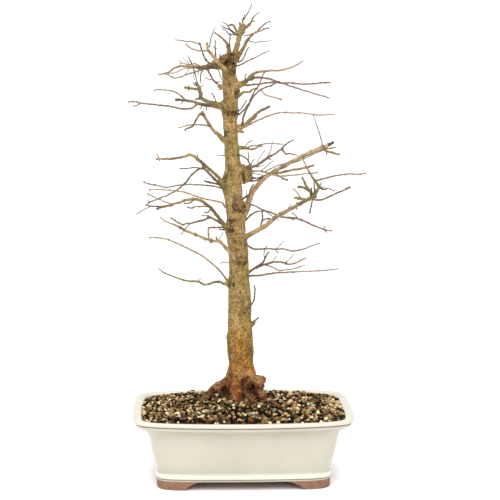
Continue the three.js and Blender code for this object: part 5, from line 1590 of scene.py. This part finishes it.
def scatter_grains(trunk):
    """Covers the soil with grains of each kind, clear of the roots. Returns a skin for each kind."""
    chance = random.Random(GRAIN_SEED)
    shapes = grain_shapes(chance)
    corners = [v.co / MM for v in trunk.data.vertices]
    bodies = BVHTree.FromPolygons(corners, [tuple(p.vertices) for p in trunk.data.polygons])
    kinds = list(GRAIN_KINDS)
    shares = [GRAIN_KINDS[k][1] for k in kinds]
    skins = {kind: Skin() for kind in kinds}
    for x, y in grain_places(chance):
        kind = chance.choices(kinds, shares)[0]
        if math.dist((x, y), MOSSY_PLACE) < MOSSY_RADIUS and chance.random() < MOSSY_SHARE:
            kind = chance.choice(("mossy_grains", "akadama_grains", "lava_grains"))
        tones, _, size, raised = GRAIN_KINDS[kind]
        radius = chance.triangular(*GRAIN_RADIUS) * size
        place = Vector((x, y, soil_height(x, y) + chance.uniform(*GRAIN_SINK) + raised))
        nearest, normal, _, gap = bodies.find_nearest(place)
        if gap < radius * ROOT_CLEARANCE or (gap < ROOT_REACH and (place - nearest).dot(normal) < 0):
            continue
        tone = np.array(linear(chance.choice(tones)))
        tone[:3] *= chance.uniform(*GRAIN_TONE_RANGE)
        place_grain(skins[kind], chance, shapes, place, radius, tuple(tone))
    return skins


def grain_places(chance):
    """Where the grains lie: shaken rows over the soil, and one line along the pot's inner edge."""
    edge = plan_ring(SOIL_INSET + EDGE_ROW_INSET, 0)
    places = [(p.x, p.y) for p in edge if chance.random() < EDGE_ROW_SHARE]
    gap = GRAIN_SPACING * GRAIN_ROW
    for row in range(int(RIM_DEPTH / gap) + 1):
        for column in range(int(RIM_WIDTH / GRAIN_SPACING) + 1):
            along_row = (column + 0.5 * (row % 2)) * GRAIN_SPACING
            x = along_row - RIM_WIDTH / 2 + chance.uniform(-GRAIN_SHAKE, GRAIN_SHAKE)
            y = row * GRAIN_SPACING * GRAIN_ROW - RIM_DEPTH / 2 + chance.uniform(-GRAIN_SHAKE, GRAIN_SHAKE)
            if math.hypot(x, y) < math.hypot(*plan_point(math.atan2(y, x), SOIL_INSET + 1)):
                places.append((x, y))
    return places


def place_grain(skin, chance, shapes, centre, radius, tone):
    """One grain, turned at random."""
    points, faces = shapes[chance.randrange(len(shapes))]
    spin = Vector([chance.uniform(-1, 1) for _ in range(3)]).normalized()
    turned = np.array(Vector((0, 0, 1)).rotation_difference(spin).to_matrix())
    skin.add(points @ turned.T * radius + np.array(centre), faces, tone)


def make_grains(trunk):
    pieces = []
    for kind, skin in scatter_grains(trunk).items():
        name, roughness, specular = GRAIN_FINISHES[kind]
        pieces.append(skin.object(kind, grit(name, roughness, specular), smooth=False))
    return pieces


# The whole object


def set_finish(node, material):
    """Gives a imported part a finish, and leaves its shape as it is."""
    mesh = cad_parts[node].data
    mesh.materials.clear()
    mesh.materials.append(material)


def make_camera():
    camera = bpy.data.objects.new("camera", bpy.data.cameras.new("camera"))
    bpy.context.scene.collection.objects.link(camera)
    camera.location = EYE * MM
    camera.rotation_mode = "QUATERNION"
    camera.rotation_quaternion = SIGHT_LINE.to_track_quat("-Z", "Y")
    camera.data.sensor_width = SENSOR_WIDTH
    camera.data.lens = EYE_DISTANCE / DRAWING_SQUARE / DRAWING_WIDTH * SENSOR_WIDTH
    camera.data.clip_end = 100
    bpy.context.scene.camera = camera


def soft_sun(name, rise, turn, strength):
    """A very wide lamp far away: how high it stands, how far round from the front, and its strength."""
    light = bpy.data.lights.new(name, "SUN")
    light.angle = math.radians(LAMP_SPREAD)
    light.energy = strength
    lamp = bpy.data.objects.new(name, light)
    bpy.context.scene.collection.objects.link(lamp)
    rise, turn = math.radians(rise), math.radians(turn)
    away = Vector((math.cos(rise) * math.sin(turn), -math.cos(rise) * math.cos(turn), math.sin(rise)))
    lamp.rotation_mode = "QUATERNION"
    lamp.rotation_quaternion = (-away).to_track_quat("-Z", "Y")


def make_studio():
    """A wide floor, a bright dome that is dimmer a little above the horizon, and two wide lamps."""
    floor = Skin()
    low, high = -FLOOR_REACH, FLOOR_REACH
    corners = [Vector((x, y, 0)) for x, y in ((low, low), (high, low), (high, high), (low, high))]
    floor.add(corners, [(0, 1, 2, 3)], None)
    floor.object("floor", painted_floor())
    world = bpy.data.worlds.new("studio")
    bpy.context.scene.world = world
    world.use_nodes = True
    dome = world.node_tree
    background = next(n for n in dome.nodes if n.type == "BACKGROUND")
    away = add(dome, "ShaderNodeTexCoord", output="Generated")
    height = add(dome, "ShaderNodeSeparateXYZ", {}, {"Vector": away}, "Z")
    dome.links.new(add(dome, RAMP, {"stops": SKY_STOPS}, {"Fac": height}), background.inputs["Color"])
    background.inputs["Strength"].default_value = SKY_STRENGTH
    for name, lamp in LAMPS.items():
        soft_sun(name, *lamp)
    bpy.context.scene.view_settings.view_transform = "Standard"


EMBER_TONE = np.array(linear("#9F5F2C")[:3])
ROOT_TONE = np.array(linear("#74603F")[:3])
CREVICE_TONE = np.array(linear("#2C130A")[:3])

make_camera()
make_studio()

trunk = make_trunk(trunk_bark())
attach(trunk, "root")
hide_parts("tree")

limbs = make_limbs(twig_bark())
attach(limbs, "root")
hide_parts("tree")

pot = make_pot(glazed_stoneware(), bare_stoneware())
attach(pot, "root")
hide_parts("pot")

bed = make_soil_bed(plain_finish("damp akadama fines", 2, "#120C07", "#2C2014", 0.0, 0.95))
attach(bed, "root")
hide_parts("soil")

for grains in make_grains(trunk):
    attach(grains, "root")

pebble_tones = [(0.36, "#46321E"), (0.44, "#6E6452"), (0.52, "#98866A"), (0.6, "#A48E6E"), (0.68, "#805832")]
stone_finish = grit("mixed pumice and lava pebbles", 0.9, 0.3, pebble_tones)
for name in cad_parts:
    if name.startswith("stone_"):
        set_finish(name, stone_finish)
clip_wire = plain_finish("bright drawn aluminium wire", 4, "#8A867E", "#B8B4AC", 1.0, 0.35)
anchor_wire = plain_finish("copper-brown anodised aluminium wire", 4, "#5A3826", "#7A4E34", 1.0, 0.4)
polyethylene = plain_finish("black moulded polyethylene mesh", 3, "#151517", "#26262A", 0.0, 0.5)
for side in ("left", "right"):
    set_finish(f"drain_mesh_{side}", polyethylene)
    set_finish(f"mesh_clip_{side}", clip_wire)
for side in ("front", "back"):
    set_finish(f"anchor_wire_{side}", anchor_wire)
